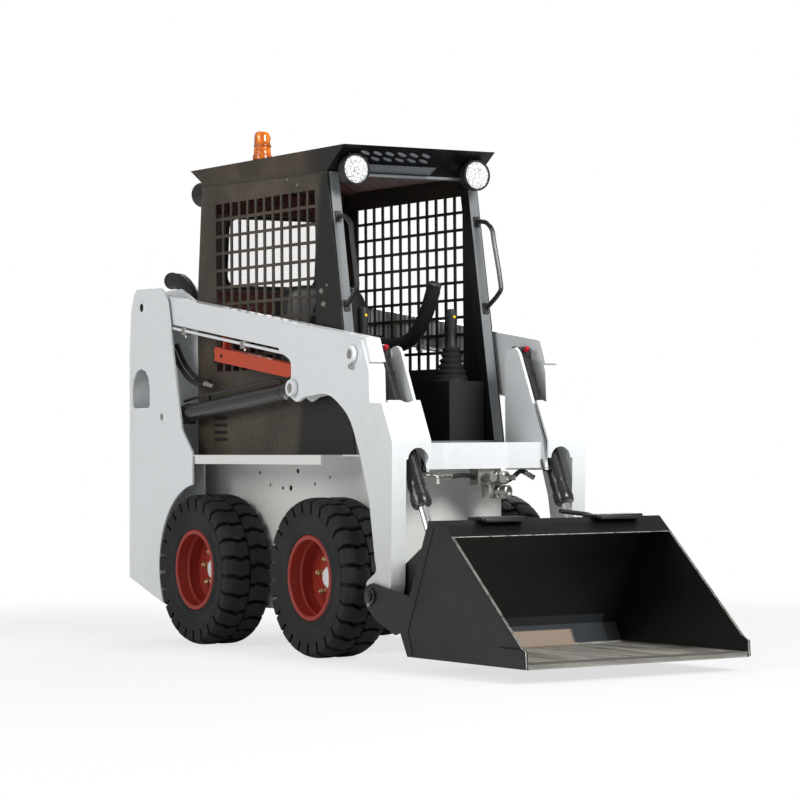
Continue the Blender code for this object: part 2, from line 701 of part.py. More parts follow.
def grab_handle(side_name, side):
    """A bent rail bolted to the front of its post at both ends."""
    points = []
    for x, y, z in ((0.302, post_line(1.616) - 0.004, 1.616), (0.309, -0.085, 1.612), (0.310, -0.128, 1.582),
                    (0.312, -0.140, 1.530), (0.315, -0.176, 1.380), (0.314, -0.168, 1.340),
                    (0.308, post_line(1.286) - 0.004, 1.286)):
        points.append((side * x, y, z))
    rail = tube("grab_handle_" + side_name, points, 0.009, sides=2, smooth_steps=3)
    for name, z in (("top", 1.616), ("low", 1.286)):
        face = [(post_line(z - 0.02) - GAP, z - 0.02), (post_line(z + 0.02) - GAP, z + 0.02),
                (post_line(z + 0.02) - 0.007, z + 0.02), (post_line(z - 0.02) - 0.007, z - 0.02)]
        join(rail, prism("pad_%s_%s" % (name, side_name), face, side * 0.293, side * 0.317))
    return finish(rail, "black_paint")


# --- lift arms -------------------------------------------------------------------------------

ELBOW_AND_LEG = [
    (0.215, 1.232, 0.030), (-0.369, 1.149, 0.012), (-0.418, 1.040, 0.030), (-0.421, 0.925, 0.006),
    (-0.5005, 0.922), (-0.569, 0.789, 0.030), (-0.569, 0.723), (-0.556, 0.287),
    (-0.535, 0.212, 0.030), (-0.442, 0.190, 0.030), (-0.392, 0.205, 0.020), (-0.390, 0.290, 0.020),
    (-0.462, 0.330, 0.020), (-0.450, 0.370), (-0.413, 0.581), (-0.354, 0.740, 0.200), (-0.285, 0.880, 0.200),
    (-0.140, 0.968, 0.200), (0.040, 0.952, 0.060), (0.090, 0.934, 0.030), (0.150, 0.958, 0.030),
    (0.146, 1.010, 0.020), (0.131, 1.030), (0.131, 1.090, 0.030), (0.215, 1.125, 0.030), (0.245, 1.170, 0.030)]
EYE_POCKET = [(-0.050, 1.088, 0.020), (0.300, 1.088), (0.300, 0.850), (0.000, 0.850), (-0.050, 0.940)]


def beam_edge(y, offset):
    """Height of the beam's top or bottom edge, offset square from the line through the pivot."""
    return PIVOT[1] - ARM_SLOPE * (PIVOT[0] - y) + offset * math.hypot(1, ARM_SLOPE)


def lift_arm(side_name, side):
    """One arm: the sloping box beam, the elbow plates and the leg in front of the tyre."""
    tag = "_" + side_name
    nose = (-0.384, beam_edge(-0.384, ARM_TOP))
    beam_line = [(PIVOT[0], beam_edge(PIVOT[0], ARM_TOP)), (*nose, 0.010), (-0.420, 1.070), (-0.065, 1.070),
                 (-0.065, beam_edge(-0.065, -ARM_UNDER)), (PIVOT[0], beam_edge(PIVOT[0], -ARM_UNDER))]
    arm = prism("lift_arm" + tag, beam_line, side * ARM_IN, side * BEAM_OUT)
    hub = cross_rod("arm_hub" + tag, side * (ARM_IN - 0.001), side * (BEAM_OUT + 0.001), PIVOT, ARM_TOP + 0.0005,
                    segments=32)
    leg = prism("leg" + tag, ELBOW_AND_LEG, side * (ARM_IN + 0.001), side * ARM_OUT)
    pocket = prism("eye_pocket" + tag, EYE_POCKET, side * (ARM_IN + ELBOW_WALL), side * (ARM_OUT - 0.014))
    slim = box("leg_slim" + tag, (side * (ARM_IN - 0.02), -0.70, 0.10), (side * LEG_IN, -0.10, 0.90))
    cut(leg, pocket, slim)
    inner_line = [(-0.295, 0.680), (-0.295, 1.110, 0.035), (-0.372, 1.140, 0.040), (-0.535, 0.788), (-0.552, 0.680)]
    inner_out = INNER_PLATE_X + INNER_PLATE_THICK
    inner = prism("arm_inner_plate" + tag, inner_line, side * INNER_PLATE_X, side * inner_out)
    cover_line = [(-0.498, 0.933), (-0.568, 0.789), (-0.568, 0.724), (-0.558, 0.724), (-0.558, 0.787), (-0.488, 0.930)]
    cover = prism("arm_cover" + tag, cover_line, side * (INNER_PLATE_X + 0.002), side * (LEG_IN + 0.030))
    for name, z, radius in (("top", 0.972, 0.048), ("low", 0.722, 0.043)):
        cut(cover, rod_between("cover_%s%s" % (name, tag), (side * TILT_X, -0.70, z), (side * TILT_X, -0.40, z), radius))
    join(arm, hub, leg, inner, cover)
    join(arm, cross_rod("tilt_pin" + tag, side * (INNER_PLATE_X + 0.004), side * (LEG_IN + 0.01), TILT_TOP, TILT_PIN))
    for name, place, radius in (("tilt", TILT_TOP, 0.027), ("lift", LIFT_EYE, 0.026)):
        join(arm, cross_rod("%s_boss%s" % (name, tag), side * (ARM_OUT - 0.01), side * (ARM_OUT + 0.008), place, radius))
    cut(arm, cross_rod("pivot_bore" + tag, side * (ARM_IN - 0.02), side * (ARM_OUT + 0.02), PIVOT, ARM_PIN + RUN))
    cut(arm, cross_rod("bucket_bore" + tag, side * (ARM_IN - 0.02), side * (ARM_OUT + 0.02), BUCKET_PIVOT,
                       BUCKET_PIN + RUN))
    return finish(arm, "white_paint")


def cross_beam():
    """The box beam that ties both arms, widened by a gusset at each end."""
    half = INNER_PLATE_X - GAP
    outline = [(-half, -0.385), (-half, -0.528), (-0.140, -0.475), (0.140, -0.475), (half, -0.528), (half, -0.385)]
    return finish(prism("cross_beam", outline, 0.687, 0.781, "Z"), "white_paint")


def coupler_block():
    """The auxiliary hydraulic coupler block under the cross beam."""
    block = box("coupler_block", (0.020, -0.455, 0.628), (0.120, -0.400, 0.687 - GAP))
    for name, x, z in (("a", 0.050, 0.655), ("b", 0.092, 0.650)):
        join(block, rod_between("coupler_" + name, (x, -0.440, z), (x, -0.510, z), 0.016, segments=16))
    return finish(block, "worn_steel")


def arm_lock():
    """The lift arm lock channel, stored over the right lift cylinder and pinned between the elbow plates."""
    low, high = 0.352 + 0.004, 0.400 - 0.004
    side_line = [(0.760, 1.160), (0.200, 1.081), (0.100, 1.068, 0.010), (0.100, 1.036, 0.010), (0.200, 1.029),
                 (0.760, 1.105)]
    lock = prism("arm_lock", side_line, -low, -high)
    below = [(0.800, 1.155), (0.170, 1.066), (0.170, 0.980), (0.800, 1.050)]
    cut(lock, prism("lock_channel", below, -(low + 0.005), -(high - 0.005)))
    pin = cross_rod("lock_pin", -(ARM_IN + ELBOW_WALL + GAP), -(ARM_OUT - 0.014 - GAP), (0.125, 1.052), 0.008, segments=16)
    hanger = box("lock_hanger", (-0.362, 0.690, 1.140), (-0.390, 0.702, beam_edge(0.690, -ARM_UNDER) - GAP * 4))
    return finish(join(lock, pin, hanger), "lock_orange")


# --- cylinders -------------------------------------------------------------------------------

def along(start, end, distance):
    """The point at a distance from start towards end, in (y, z)."""
    start, end = Vector(start), Vector(end)
    return tuple(start + (end - start).normalized() * distance)


def pin_distance(start, end):
    return (Vector(end) - Vector(start)).length


def barrel(name, x, base, eye, radius, end, rod_radius, rod_in, pin_radius, eye_radius, eye_half):
    """A cylinder barrel: its pin eye, the tube and the bore that the rod slides in."""
    def at(distance):
        return (x, *along(base, eye, distance))
    shell = rod_between(name, at(eye_radius * 0.6), at(end), radius)
    ring = cross_rod(name + "_eye", x - eye_half, x + eye_half, base, eye_radius)
    gland = rod_between(name + "_gland", at(end - 0.045), at(end - 0.004), radius + 0.003)
    join(shell, ring, gland)
    cut(shell, cross_rod(name + "_pin_bore", x - 0.06, x + 0.06, base, pin_radius + RUN))
    cut(shell, rod_between(name + "_bore", at(rod_in - 0.015), at(end + 0.02), rod_radius + RUN))
    return finish(shell, "black_paint")


def rod(name, x, base, eye, radius, inner, eye_radius):
    """A piston rod with its eye, open from its pin."""
    shaft = rod_between(name, (x, *along(base, eye, inner)), (x, *along(base, eye, pin_distance(base, eye) - 0.01)), radius)
    ring = cross_rod(name + "_eye", x - EYE_HALF, x + EYE_HALF, eye, eye_radius)
    return finish(join(shaft, ring), "chrome")


def lift_cylinder(side_name, side):
    name = "lift_barrel_" + side_name
    x = side * LIFT_X
    tube_piece = barrel(name, x, LIFT_BASE, LIFT_EYE, LIFT_BARREL_R, LIFT_BARREL_END, LIFT_ROD_R, LIFT_ROD_IN,
                        LIFT_PIN, 0.040, 0.028)
    rod_piece = rod("lift_rod_" + side_name, x, LIFT_BASE, LIFT_EYE, LIFT_ROD_R, LIFT_ROD_IN, 0.031)
    return tube_piece, rod_piece


def tilt_cylinder(side_name, side):
    x = side * TILT_X
    inner = pin_distance(TILT_TOP, TILT_EYE) - TILT_ROD_LENGTH
    tube_piece = barrel("tilt_barrel_" + side_name, x, TILT_TOP, TILT_EYE, TILT_BARREL_R, TILT_BARREL_END, TILT_ROD_R,
                        0.110, TILT_PIN, 0.036, 0.026)
    rod_piece = rod("tilt_rod_" + side_name, x, TILT_TOP, TILT_EYE, TILT_ROD_R, inner, 0.030)
    return tube_piece, rod_piece


# --- bucket ----------------------------------------------------------------------------------

def bucket():
    """The bucket shell: floor, back and lip from one section, closed by the side plates."""
    z0, wall = BUCKET_FLOOR_Z, BUCKET_WALL
    section = [(BUCKET_TIP_Y, z0), (-0.726, z0), BACK_LOW, BACK_TOP, (-0.951, 0.519), (-1.014, 0.466),
               (-1.008, 0.460), (-0.948, 0.511), (-0.873, 0.509), (-0.692, 0.131), (-0.732, z0 + EDGE_THICK),
               (-1.400, z0 + EDGE_THICK)]
    shell = prism("bucket", section, 0.002 - BUCKET_HALF, BUCKET_HALF - 0.002)
    cheek = [(BUCKET_TIP_Y + 0.002, z0 + 0.001), (-0.727, z0 + 0.001), (-0.683, 0.128), (-0.868, 0.516), (-0.951, 0.518),
             (-1.013, 0.466), (-1.415, 0.118), (-1.441, 0.105)]
    for side_name, side in SIDES:
        join(shell, prism("cheek_" + side_name, cheek, side * (BUCKET_HALF - wall), side * BUCKET_HALF))
    return finish(shell, "black_paint")


def back_point(distance, off):
    """A point up the bucket's back from its lower end, and off it towards the machine."""
    up = (Vector(BACK_TOP) - Vector(BACK_LOW)).normalized()
    out = Vector((up.y, -up.x))
    return tuple(Vector(BACK_LOW) + up * distance + out * off)


def hitch_frame():
    """The quick hitch: a plate on the bucket's back, pivot ears beside the legs and ears for the tilt rods."""
    near, far = GAP, GAP + HITCH_THICK
    sheet = [back_point(0.010, near), back_point(0.425, near), back_point(0.425, far), back_point(0.010, far)]
    hitch = prism("hitch_frame", sheet, -0.430, 0.430)
    outer_ear = [(-0.400, 0.215, 0.020), (-0.400, 0.275, 0.025), (-0.455, 0.290, 0.020), back_point(0.130, 0.004),
                 back_point(0.012, 0.004), (-0.600, 0.114, 0.010), (-0.465, 0.165, 0.040)]
    tilt_ear = [(-0.655, 0.412, 0.025), back_point(0.355, 0.004), back_point(0.180, 0.004), (-0.650, 0.340, 0.020)]
    joined_ear = [(-0.400, 0.215, 0.020), (-0.400, 0.275, 0.025), (-0.645, 0.413, 0.030), (-0.690, 0.430, 0.010),
                  back_point(0.355, 0.004), back_point(0.012, 0.004), (-0.600, 0.114, 0.010), (-0.465, 0.165, 0.040)]
    for side_name, side in SIDES:
        for name, line, low, high in (("outer", outer_ear, 0.422, 0.430), ("joined", joined_ear, 0.340, 0.350),
                                      ("tilt", tilt_ear, 0.264, 0.274)):
            join(hitch, prism("%s_ear_%s" % (name, side_name), line, side * low, side * high))
        join(hitch, cross_rod("bucket_pin_" + side_name, side * 0.342, side * 0.436, BUCKET_PIVOT, BUCKET_PIN))
    return finish(hitch, "black_paint")


# --- assembly --------------------------------------------------------------------------------

def build():
    clear_scene()
    bpy.context.scene.collection.children.link(parts)
    bpy.context.scene.collection.children.link(cutters)
    chassis = [main_frame(), engine(), cab_front_frame(), cab_roof(), cab_back(), rear_window(), seat_box(), seat(),
               rear_lamp(), beacon()]
    for side_name, side in SIDES:
        chassis += [upright(side_name, side), cab_side(side_name, side), joystick(side_name, side),
                    work_lamp(side_name, side), grab_handle(side_name, side)]
        for end_name, y in (("front", FRONT_AXLE_Y), ("rear", REAR_AXLE_Y)):
            chassis.append(stub_axle(end_name, y, side_name, side))
            body("wheel_hub_%s_%s" % (end_name, side_name), (side * WHEEL_X, y, TYRE_RADIUS),
                 [rim(end_name, y, side_name, side), tyre(end_name, y, side_name, side)])
    body("chassis", (0, 0, 0), chassis)
    body("door_hinge", (*DOOR_AXIS, DOOR_LOW_Z), [rear_door()])
    body("hood_hinge", (0, *HOOD_AXIS), [engine_hood()])
    body("seat_bar_hinge", (0, *SEAT_BAR_PIVOT), [seat_bar()])
    chassis.append(exhaust_elbow())
    lift = [lift_cylinder(side_name, side) for side_name, side in SIDES]
    tilt = [tilt_cylinder(side_name, side) for side_name, side in SIDES]
    arms = [lift_arm(side_name, side) for side_name, side in SIDES]
    body("arm_pivot", (0, *PIVOT), arms + [cross_beam(), coupler_block(), arm_lock()])
    body("bucket_hinge", (0, *BUCKET_PIVOT), [bucket(), hitch_frame()])
    body("lift_barrel_hinge", (0, *LIFT_BASE), [barrel_piece for barrel_piece, _ in lift])
    body("lift_rod_slide", (0, *LIFT_EYE), [rod_piece for _, rod_piece in lift])
    body("tilt_barrel_hinge", (0, *TILT_TOP), [barrel_piece for barrel_piece, _ in tilt])
    body("tilt_rod_slide", (0, *TILT_EYE), [rod_piece for _, rod_piece in tilt])


build()
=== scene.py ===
"""A compact skid steer loader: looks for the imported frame. Metres, +Z up, front at -Y, right side at -X."""
import math

import bmesh
import bpy
from mathutils import Euler, Matrix, Vector


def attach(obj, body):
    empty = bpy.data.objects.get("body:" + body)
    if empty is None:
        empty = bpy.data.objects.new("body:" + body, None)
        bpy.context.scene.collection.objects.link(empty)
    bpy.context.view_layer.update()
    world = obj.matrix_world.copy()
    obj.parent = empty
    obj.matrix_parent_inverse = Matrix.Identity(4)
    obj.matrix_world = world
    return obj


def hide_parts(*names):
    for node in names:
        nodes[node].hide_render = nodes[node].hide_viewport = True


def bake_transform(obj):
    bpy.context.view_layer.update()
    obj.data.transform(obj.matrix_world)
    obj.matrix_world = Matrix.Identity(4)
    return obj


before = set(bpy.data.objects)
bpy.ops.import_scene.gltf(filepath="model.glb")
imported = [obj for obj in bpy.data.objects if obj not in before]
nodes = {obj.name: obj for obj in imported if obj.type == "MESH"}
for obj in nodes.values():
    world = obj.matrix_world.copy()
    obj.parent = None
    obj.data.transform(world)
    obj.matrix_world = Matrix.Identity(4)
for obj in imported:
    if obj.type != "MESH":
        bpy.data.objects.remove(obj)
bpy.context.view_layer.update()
SIDES = (("right", -1), ("left", 1))


# --- Stage: a pale studio ---------------------------------------------------------------------
# A pale floor that keeps the machine's soft shadow, a white surround, big soft lamps and the
# camera, standing low in front of the machine's right side and looking very slightly up.

EYE = (-5.6635, -8.9674, 0.7926)
AZIMUTH, ELEVATION, ROLL = math.radians(-32.1687), math.radians(-0.8059), math.radians(-0.4583)
FOCAL_MM, SENSOR_MM = 127.7, 36.0
FLOOR_HALF = 60.0
FLOOR_FADE = (2.2, 4.5)           # metres from the machine's middle over which the shadow's floor turns white
SURROUND_LIGHT = 0.34


def place_camera():
    back = Vector((math.sin(AZIMUTH) * math.cos(ELEVATION), -math.cos(AZIMUTH) * math.cos(ELEVATION),
                   math.sin(ELEVATION)))
    right = (-back).cross(Vector((0, 0, 1))).normalized()
    up = right.cross(-back)
    turned_right = right * math.cos(ROLL) + up * math.sin(ROLL)
    turned_up = up * math.cos(ROLL) - right * math.sin(ROLL)
    lens = bpy.data.cameras.new("camera")
    lens.lens, lens.sensor_width = FOCAL_MM, SENSOR_MM
    camera = bpy.data.objects.new("camera", lens)
    camera.matrix_world = Matrix.Translation(EYE) @ Matrix((turned_right, turned_up, back)).transposed().to_4x4()
    bpy.context.scene.collection.objects.link(camera)
    bpy.context.scene.camera = camera


class Wire:
    """One socket's value, used in plain arithmetic."""

    def __init__(self, paint, socket):
        self.paint, self.socket = paint, socket

    def math(self, operation, *others):
        return self.paint.node("ShaderNodeMath", {"operation": operation}, dict(enumerate((self,) + others)))[0]

    def __add__(self, other): return self.math("ADD", other)
    def __radd__(self, other): return self.math("ADD", other)
    def __mul__(self, other): return self.math("MULTIPLY", other)
    def __rmul__(self, other): return self.math("MULTIPLY", other)
    def __truediv__(self, other): return self.math("DIVIDE", other)
    def __sub__(self, other): return self.math("SUBTRACT", other)
    def __neg__(self): return self.math("MULTIPLY", -1.0)
    def __rsub__(self, other): return (-self).math("ADD", other)

    def over(self, low, high):
        """0 at low, 1 at high, smooth between them; low may be the greater."""
        if low > high:
            return 1.0 - self.over(high, low)
        return self.paint.node("ShaderNodeMapRange", {"interpolation_type": "SMOOTHSTEP"},
                               {"Value": self, "From Min": low, "From Max": high})[0]


class Paint:
    """A node material, written as expressions."""

    def __init__(self, name, colour=(0.8, 0.8, 0.8), roughness=0.5, metallic=0.0, **constants):
        self.material = bpy.data.materials.new(name)
        self.material.use_nodes = True
        self.tree = self.material.node_tree
        self.shader = self.tree.nodes["Principled BSDF"]
        self.set(**{"Base Color": colour, "Roughness": roughness, "Metallic": metallic})
        self.set(**{key.replace("_", " ").title().replace("Ior", "IOR"): value for key, value in constants.items()})

    def feed(self, socket, value):
        if isinstance(value, Wire):
            self.tree.links.new(value.socket, socket)
        elif socket.type == "RGBA" and len(value) == 3:
            socket.default_value = (*value, 1)
        else:
            socket.default_value = value

    def node(self, kind, settings=None, inputs=None):
        made = self.tree.nodes.new(kind)
        for key, value in (settings or {}).items():
            setattr(made, key, value)
        for key, value in (inputs or {}).items():
            self.feed(made.inputs[key], value)
        return [Wire(self, socket) for socket in made.outputs if socket.enabled]

    def set(self, **inputs):
        for key, value in inputs.items():
            self.feed(self.shader.inputs[key], value)
        return self

    def place(self):
        """Object coordinates and their three numbers."""
        spot = self.node("ShaderNodeTexCoord")[3]
        return (spot, *self.node("ShaderNodeSeparateXYZ", None, {0: spot}))

    def noise(self, scale, detail=4.0, roughness=0.55, stretch=None):
        spot = self.node("ShaderNodeTexCoord")[3]
        if stretch:
            spot = self.node("ShaderNodeMapping", None, {"Vector": spot, "Scale": stretch})[0]
        return self.node("ShaderNodeTexNoise", None,
                         {"Vector": spot, "Scale": scale, "Detail": detail, "Roughness": roughness})[0]

    def mix(self, share, first, second):
        made = self.tree.nodes.new("ShaderNodeMix")
        made.data_type = "RGBA"
        for socket, value in ((made.inputs[0], share), (made.inputs[6], first), (made.inputs[7], second)):
            self.feed(socket, value)
        return Wire(self, made.outputs[2])

    def bump(self, height, distance, strength=1.0):
        return self.set(Normal=self.node("ShaderNodeBump", None,
                                         {"Height": height, "Distance": distance, "Strength": strength})[0])


def stage_floor():
    mesh = bpy.data.meshes.new("studio_floor")
    corners = [(x * FLOOR_HALF, y * FLOOR_HALF, 0) for x, y in ((-1, -1), (1, -1), (1, 1), (-1, 1))]
    mesh.from_pydata(corners, [], [(0, 1, 2, 3)])
    floor = bpy.data.objects.new("studio_floor", mesh)
    bpy.context.scene.collection.objects.link(floor)
    paint = Paint("pale_floor", (0.80, 0.80, 0.80), 0.9, specular_ior_level=0.0)
    seen = paint.node("ShaderNodeLightPath")[0]
    spot = paint.place()[0]
    far = paint.node("ShaderNodeVectorMath", {"operation": "LENGTH"}, {0: spot})[0].over(*FLOOR_FADE)
    glow = paint.node("ShaderNodeEmission", None, {"Color": (1, 1, 1), "Strength": 1.0})[0]
    share = seen * (0.70 + far * 0.30)
    surface = paint.node("ShaderNodeMixShader", None, {0: share, 1: Wire(paint, paint.shader.outputs[0]), 2: glow})[0]
    paint.feed(paint.tree.nodes["Material Output"].inputs["Surface"], surface)
    floor.data.materials.append(paint.material)


def soft_lamp(name, place, aim, size, watts):
    light = bpy.data.lights.new(name, "AREA")
    light.shape, light.size, light.energy = "DISK", size, watts
    lamp = bpy.data.objects.new(name, light)
    turn = (Vector(place) - Vector(aim)).to_track_quat("Z", "Y").to_matrix().to_4x4()
    lamp.matrix_world = Matrix.Translation(place) @ turn
    bpy.context.scene.collection.objects.link(lamp)


def surround():
    world = bpy.data.worlds.new("surround")
    world.use_nodes = True
    bpy.context.scene.world = world
    tree = world.node_tree
    path, sky = tree.nodes.new("ShaderNodeLightPath"), tree.nodes["Background"]
    level = tree.nodes.new("ShaderNodeMapRange")
    level.inputs["To Min"].default_value, level.inputs["To Max"].default_value = SURROUND_LIGHT, 1.0
    tree.links.new(path.outputs["Is Camera Ray"], level.inputs["Value"])
    tree.links.new(level.outputs[0], sky.inputs["Strength"])
    sky.inputs["Color"].default_value = (1, 1, 1, 1)


place_camera()
stage_floor()
surround()
soft_lamp("front_lamp", (1.0, -8.0, 5.5), (0, 0, 0.8), 3.6, 760)
soft_lamp("side_lamp", (-8.0, -0.5, 4.0), (0, 0, 0.8), 4.0, 250)
soft_lamp("back_lamp", (5.0, 6.5, 5.0), (0, 0, 1.0), 4.0, 260)
bpy.context.scene.view_settings.view_transform = "Standard"


# --- White bodywork ---------------------------------------------------------------------------
# Welded sheet steel, sprayed white: the tub, uprights, arms, doors and cross beam. The enamel has a
# faint orange peel, dust and thin grey scuffs, and on the arms and tub painted shade that darkens it low down. Bushings
# are welded rings, painted over.

def enamel(name, colour, dust_and_shade_colour, roughness=0.36, dusty=0.35, coat=0.2, specular=0.5, low_shade=0.0, peel=0.35):
    paint = Paint(name, colour, roughness, coat_weight=coat, coat_roughness=0.22, specular_ior_level=specular)
    z = paint.place()[3]
    cloud = paint.noise(2.2, 5.0)
    fine = paint.noise(34.0, 6.0, 0.7)
    streak = paint.noise(9.0, 5.0, 0.65, (1.0, 1.0, 0.12))
    # Painted shade: the enamel darkens towards the bottom by low_shade, standing in for the shade that falls on the low
    # parts.
    low = z.over(1.0, 0.25) * low_shade
    dust_and_low_shade = (cloud * 0.6 + fine * 0.5 + streak * 0.3).over(0.65, 1.15) * dusty
    dust_and_low_shade = (dust_and_low_shade + low * (0.7 + cloud * 0.6)).math("MINIMUM", 1.0)
    scuff = paint.noise(75.0, 3.0, 0.8, (1.0, 0.25, 1.0)).over(0.66, 0.74) * cloud.over(0.50, 0.62)
    tone = paint.mix(dust_and_low_shade, colour, dust_and_shade_colour)
    paint.set(**{"Base Color": paint.mix(scuff * 0.35, tone, [c * 0.55 for c in dust_and_shade_colour]),
                 "Roughness": dust_and_low_shade * 0.4 + fine * 0.10 + (roughness - 0.05)})
    return paint.bump(paint.noise(260.0, 2.0) * 0.25 + cloud, 0.0006, peel).material


def dress(finish, *starts):
    """Gives every CAD node whose name begins so its finish."""
    for name, node in nodes.items():
        if name.startswith(starts):
            node.material_slots[0].material = finish


def piece(name, shape, finish, body, smooth=35):
    """A finished mesh object from a bmesh, riding on its body."""
    bmesh.ops.remove_doubles(shape, verts=shape.verts, dist=1e-6)
    bmesh.ops.recalc_face_normals(shape, faces=shape.faces)
    mesh = bpy.data.meshes.new(name)
    shape.to_mesh(mesh)
    shape.free()
    mesh.shade_smooth()
    mesh.set_sharp_from_angle(angle=math.radians(smooth))
    mesh.materials.append(finish)
    made = bpy.data.objects.new(name, mesh)
    bpy.context.scene.collection.objects.link(made)
    if body:
        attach(made, body)
    return made


def add_box(shape, low, high, chamfer=0.0, turn=None):
    low, high = Vector(low), Vector(high)
    size = [abs(v) for v in high - low]
    place = Matrix.Translation((low + high) / 2) @ (turn.to_4x4() if turn else Matrix.Identity(4))
    made = bmesh.ops.create_cube(shape, size=1, matrix=place @ Matrix.Diagonal((*size, 1)))
    if chamfer:
        edges = list({edge for vertex in made["verts"] for edge in vertex.link_edges})
        bmesh.ops.bevel(shape, geom=edges, offset=chamfer, segments=2, profile=0.5, affect="EDGES")


def add_lathe(shape, profile, centre, axis, steps=32):
    """A profile of (radius, distance along axis) turned about the axis through centre; ends on the axis close it."""
    turn = Vector(axis).to_track_quat("Z", "Y").to_matrix()
    rings = []
    for radius, along in profile:
        if radius < 1e-6:
            rings.append([shape.verts.new(Vector(centre) + turn @ Vector((0, 0, along)))])
            continue
        rings.append([shape.verts.new(Vector(centre) + turn @ Vector((radius * math.cos(a), radius * math.sin(a), along)))
                      for a in (2 * math.pi * k / steps for k in range(steps))])
    for ring, after in zip(rings, rings[1:]):
        for k in range(steps):
            corners = [ring[k % len(ring)], ring[(k + 1) % len(ring)], after[(k + 1) % len(after)], after[k % len(after)]]
            unique = list(dict.fromkeys(corners))
            if len(unique) > 2:
                shape.faces.new(unique)


def curve_through(points, steps=6):
    """Points on a smooth line through the given ones."""
    points = [Vector(p) for p in points]
    ends = [2 * points[0] - points[1]] + points + [2 * points[-1] - points[-2]]
    route = []
    for a, b, c, d in zip(ends, ends[1:], ends[2:], ends[3:]):
        for k in range(steps):
            t = k / steps
            route.append((2 * b + (c - a) * t + (2 * a - 5 * b + 4 * c - d) * t ** 2
                          + (3 * b - a - 3 * c + d) * t ** 3) / 2)
    route.append(points[-1])
    return route


def add_tube(shape, route, radius, sides=12, closed=False):
    """A round tube along a route; radius is a number or a function of the share along it."""
    count = len(route)
    rings, side_way = [], None
    for i, point in enumerate(route):
        ahead = route[(i + 1) % count] if closed or i < count - 1 else route[i]
        behind = route[i - 1] if closed or i else route[i]
        way = (ahead - behind).normalized()
        if side_way is None:
            side_way = way.orthogonal().normalized()
        side_way = (side_way - way * side_way.dot(way)).normalized()
        other = way.cross(side_way)
        r = radius(i / (count - 1)) if callable(radius) else radius
        rings.append([shape.verts.new(point + r * (side_way * math.cos(a) + other * math.sin(a)))
                      for a in (2 * math.pi * k / sides for k in range(sides))])
    pairs = list(zip(rings, rings[1:])) + ([(rings[-1], rings[0])] if closed else [])
    for ring, after in pairs:
        for k in range(sides):
            shape.faces.new((ring[k], ring[(k + 1) % sides], after[(k + 1) % sides], after[k]))
    if not closed:
        shape.faces.new(rings[0])
        shape.faces.new(list(reversed(rings[-1])))


def add_plate(shape, outline, x0, x1):
    """An outline of (y, z) given thickness along X."""
    near = [shape.verts.new((x0, y, z)) for y, z in outline]
    far = [shape.verts.new((x1, y, z)) for y, z in outline]
    shape.faces.new(near)
    shape.faces.new(list(reversed(far)))
    for k in range(len(outline)):
        j = (k + 1) % len(outline)
        shape.faces.new((near[k], near[j], far[j], far[k]))


white = enamel("white_enamel", (0.78, 0.805, 0.82), (0.46, 0.455, 0.42))
dress(white, "rear_upright", "cross_beam", "engine_hood", "rear_door")
# The arms and the tub carry painted shade: their white darkens towards the bottom.
dress(enamel("white_arm_enamel", (0.78, 0.805, 0.82), (0.40, 0.41, 0.38), low_shade=0.42), "lift_arm")
dress(enamel("white_tub_enamel", (0.80, 0.815, 0.80), (0.42, 0.43, 0.34), 0.42, 0.5, low_shade=0.34), "main_frame")
bright = Paint("zinc_steel", (0.55, 0.54, 0.50), 0.30, 1.0)
bright.set(Roughness=bright.noise(60.0, 4.0) * 0.3 + 0.2)
dark_hole = Paint("hole_shadow", (0.006, 0.006, 0.006), 0.9).material

PIVOT, LIFT_BASE, LIFT_EYE = (1.316, 1.336), (1.146, 0.892), (0.111, 0.987)
TILT_TOP, TILT_EYE, BUCKET_PIVOT = (-0.315, 1.100), (-0.680, 0.3893), (-0.442, 0.243)
BUSHINGS = (
    # place, face |x|, ring radius, pin radius, proud, body
    (PIVOT, 0.426, 0.030, 0.017, 0.004, "chassis"), (LIFT_BASE, 0.426, 0.025, 0.015, 0.004, "chassis"),
    (TILT_TOP, 0.424, 0.0295, 0.018, 0.011, "lift_arms"), (LIFT_EYE, 0.424, 0.0310, 0.019, 0.012, "lift_arms"),
)
for side_name, side in SIDES:
    for index, ((y, z), face, ring, pin, proud, body) in enumerate(BUSHINGS):
        shape = bmesh.new()
        add_lathe(shape, [(pin, -0.002), (pin, proud - 0.001), (pin + 0.001, proud), (ring - 0.002, proud),
                          (ring, proud - 0.002), (ring + 0.001, -0.002)], (side * face, y, z), (side, 0, 0))
        piece("bushing_%d_%s" % (index, side_name), shape, white, body)
        shape = bmesh.new()
        add_lathe(shape, [(0, proud - 0.004), (0.003, proud - 0.004), (0.0035, proud - 0.0025), (pin * 0.7, proud - 0.002),
                          (pin, proud - 0.003), (pin, -0.002)], (side * face, y, z), (side, 0, 0), 20)
        piece("pin_end_%d_%s" % (index, side_name), shape, bright.material if index else dark_hole, body)


# --- Bolts, rivets and other repeated fixings --------------------------------------------------
# Zinc-plated hex bolts hold the cab and the ledges. One node tree sets a unit shape at every point
# of a list, turned and sized as the point says, and makes the result one plain mesh.

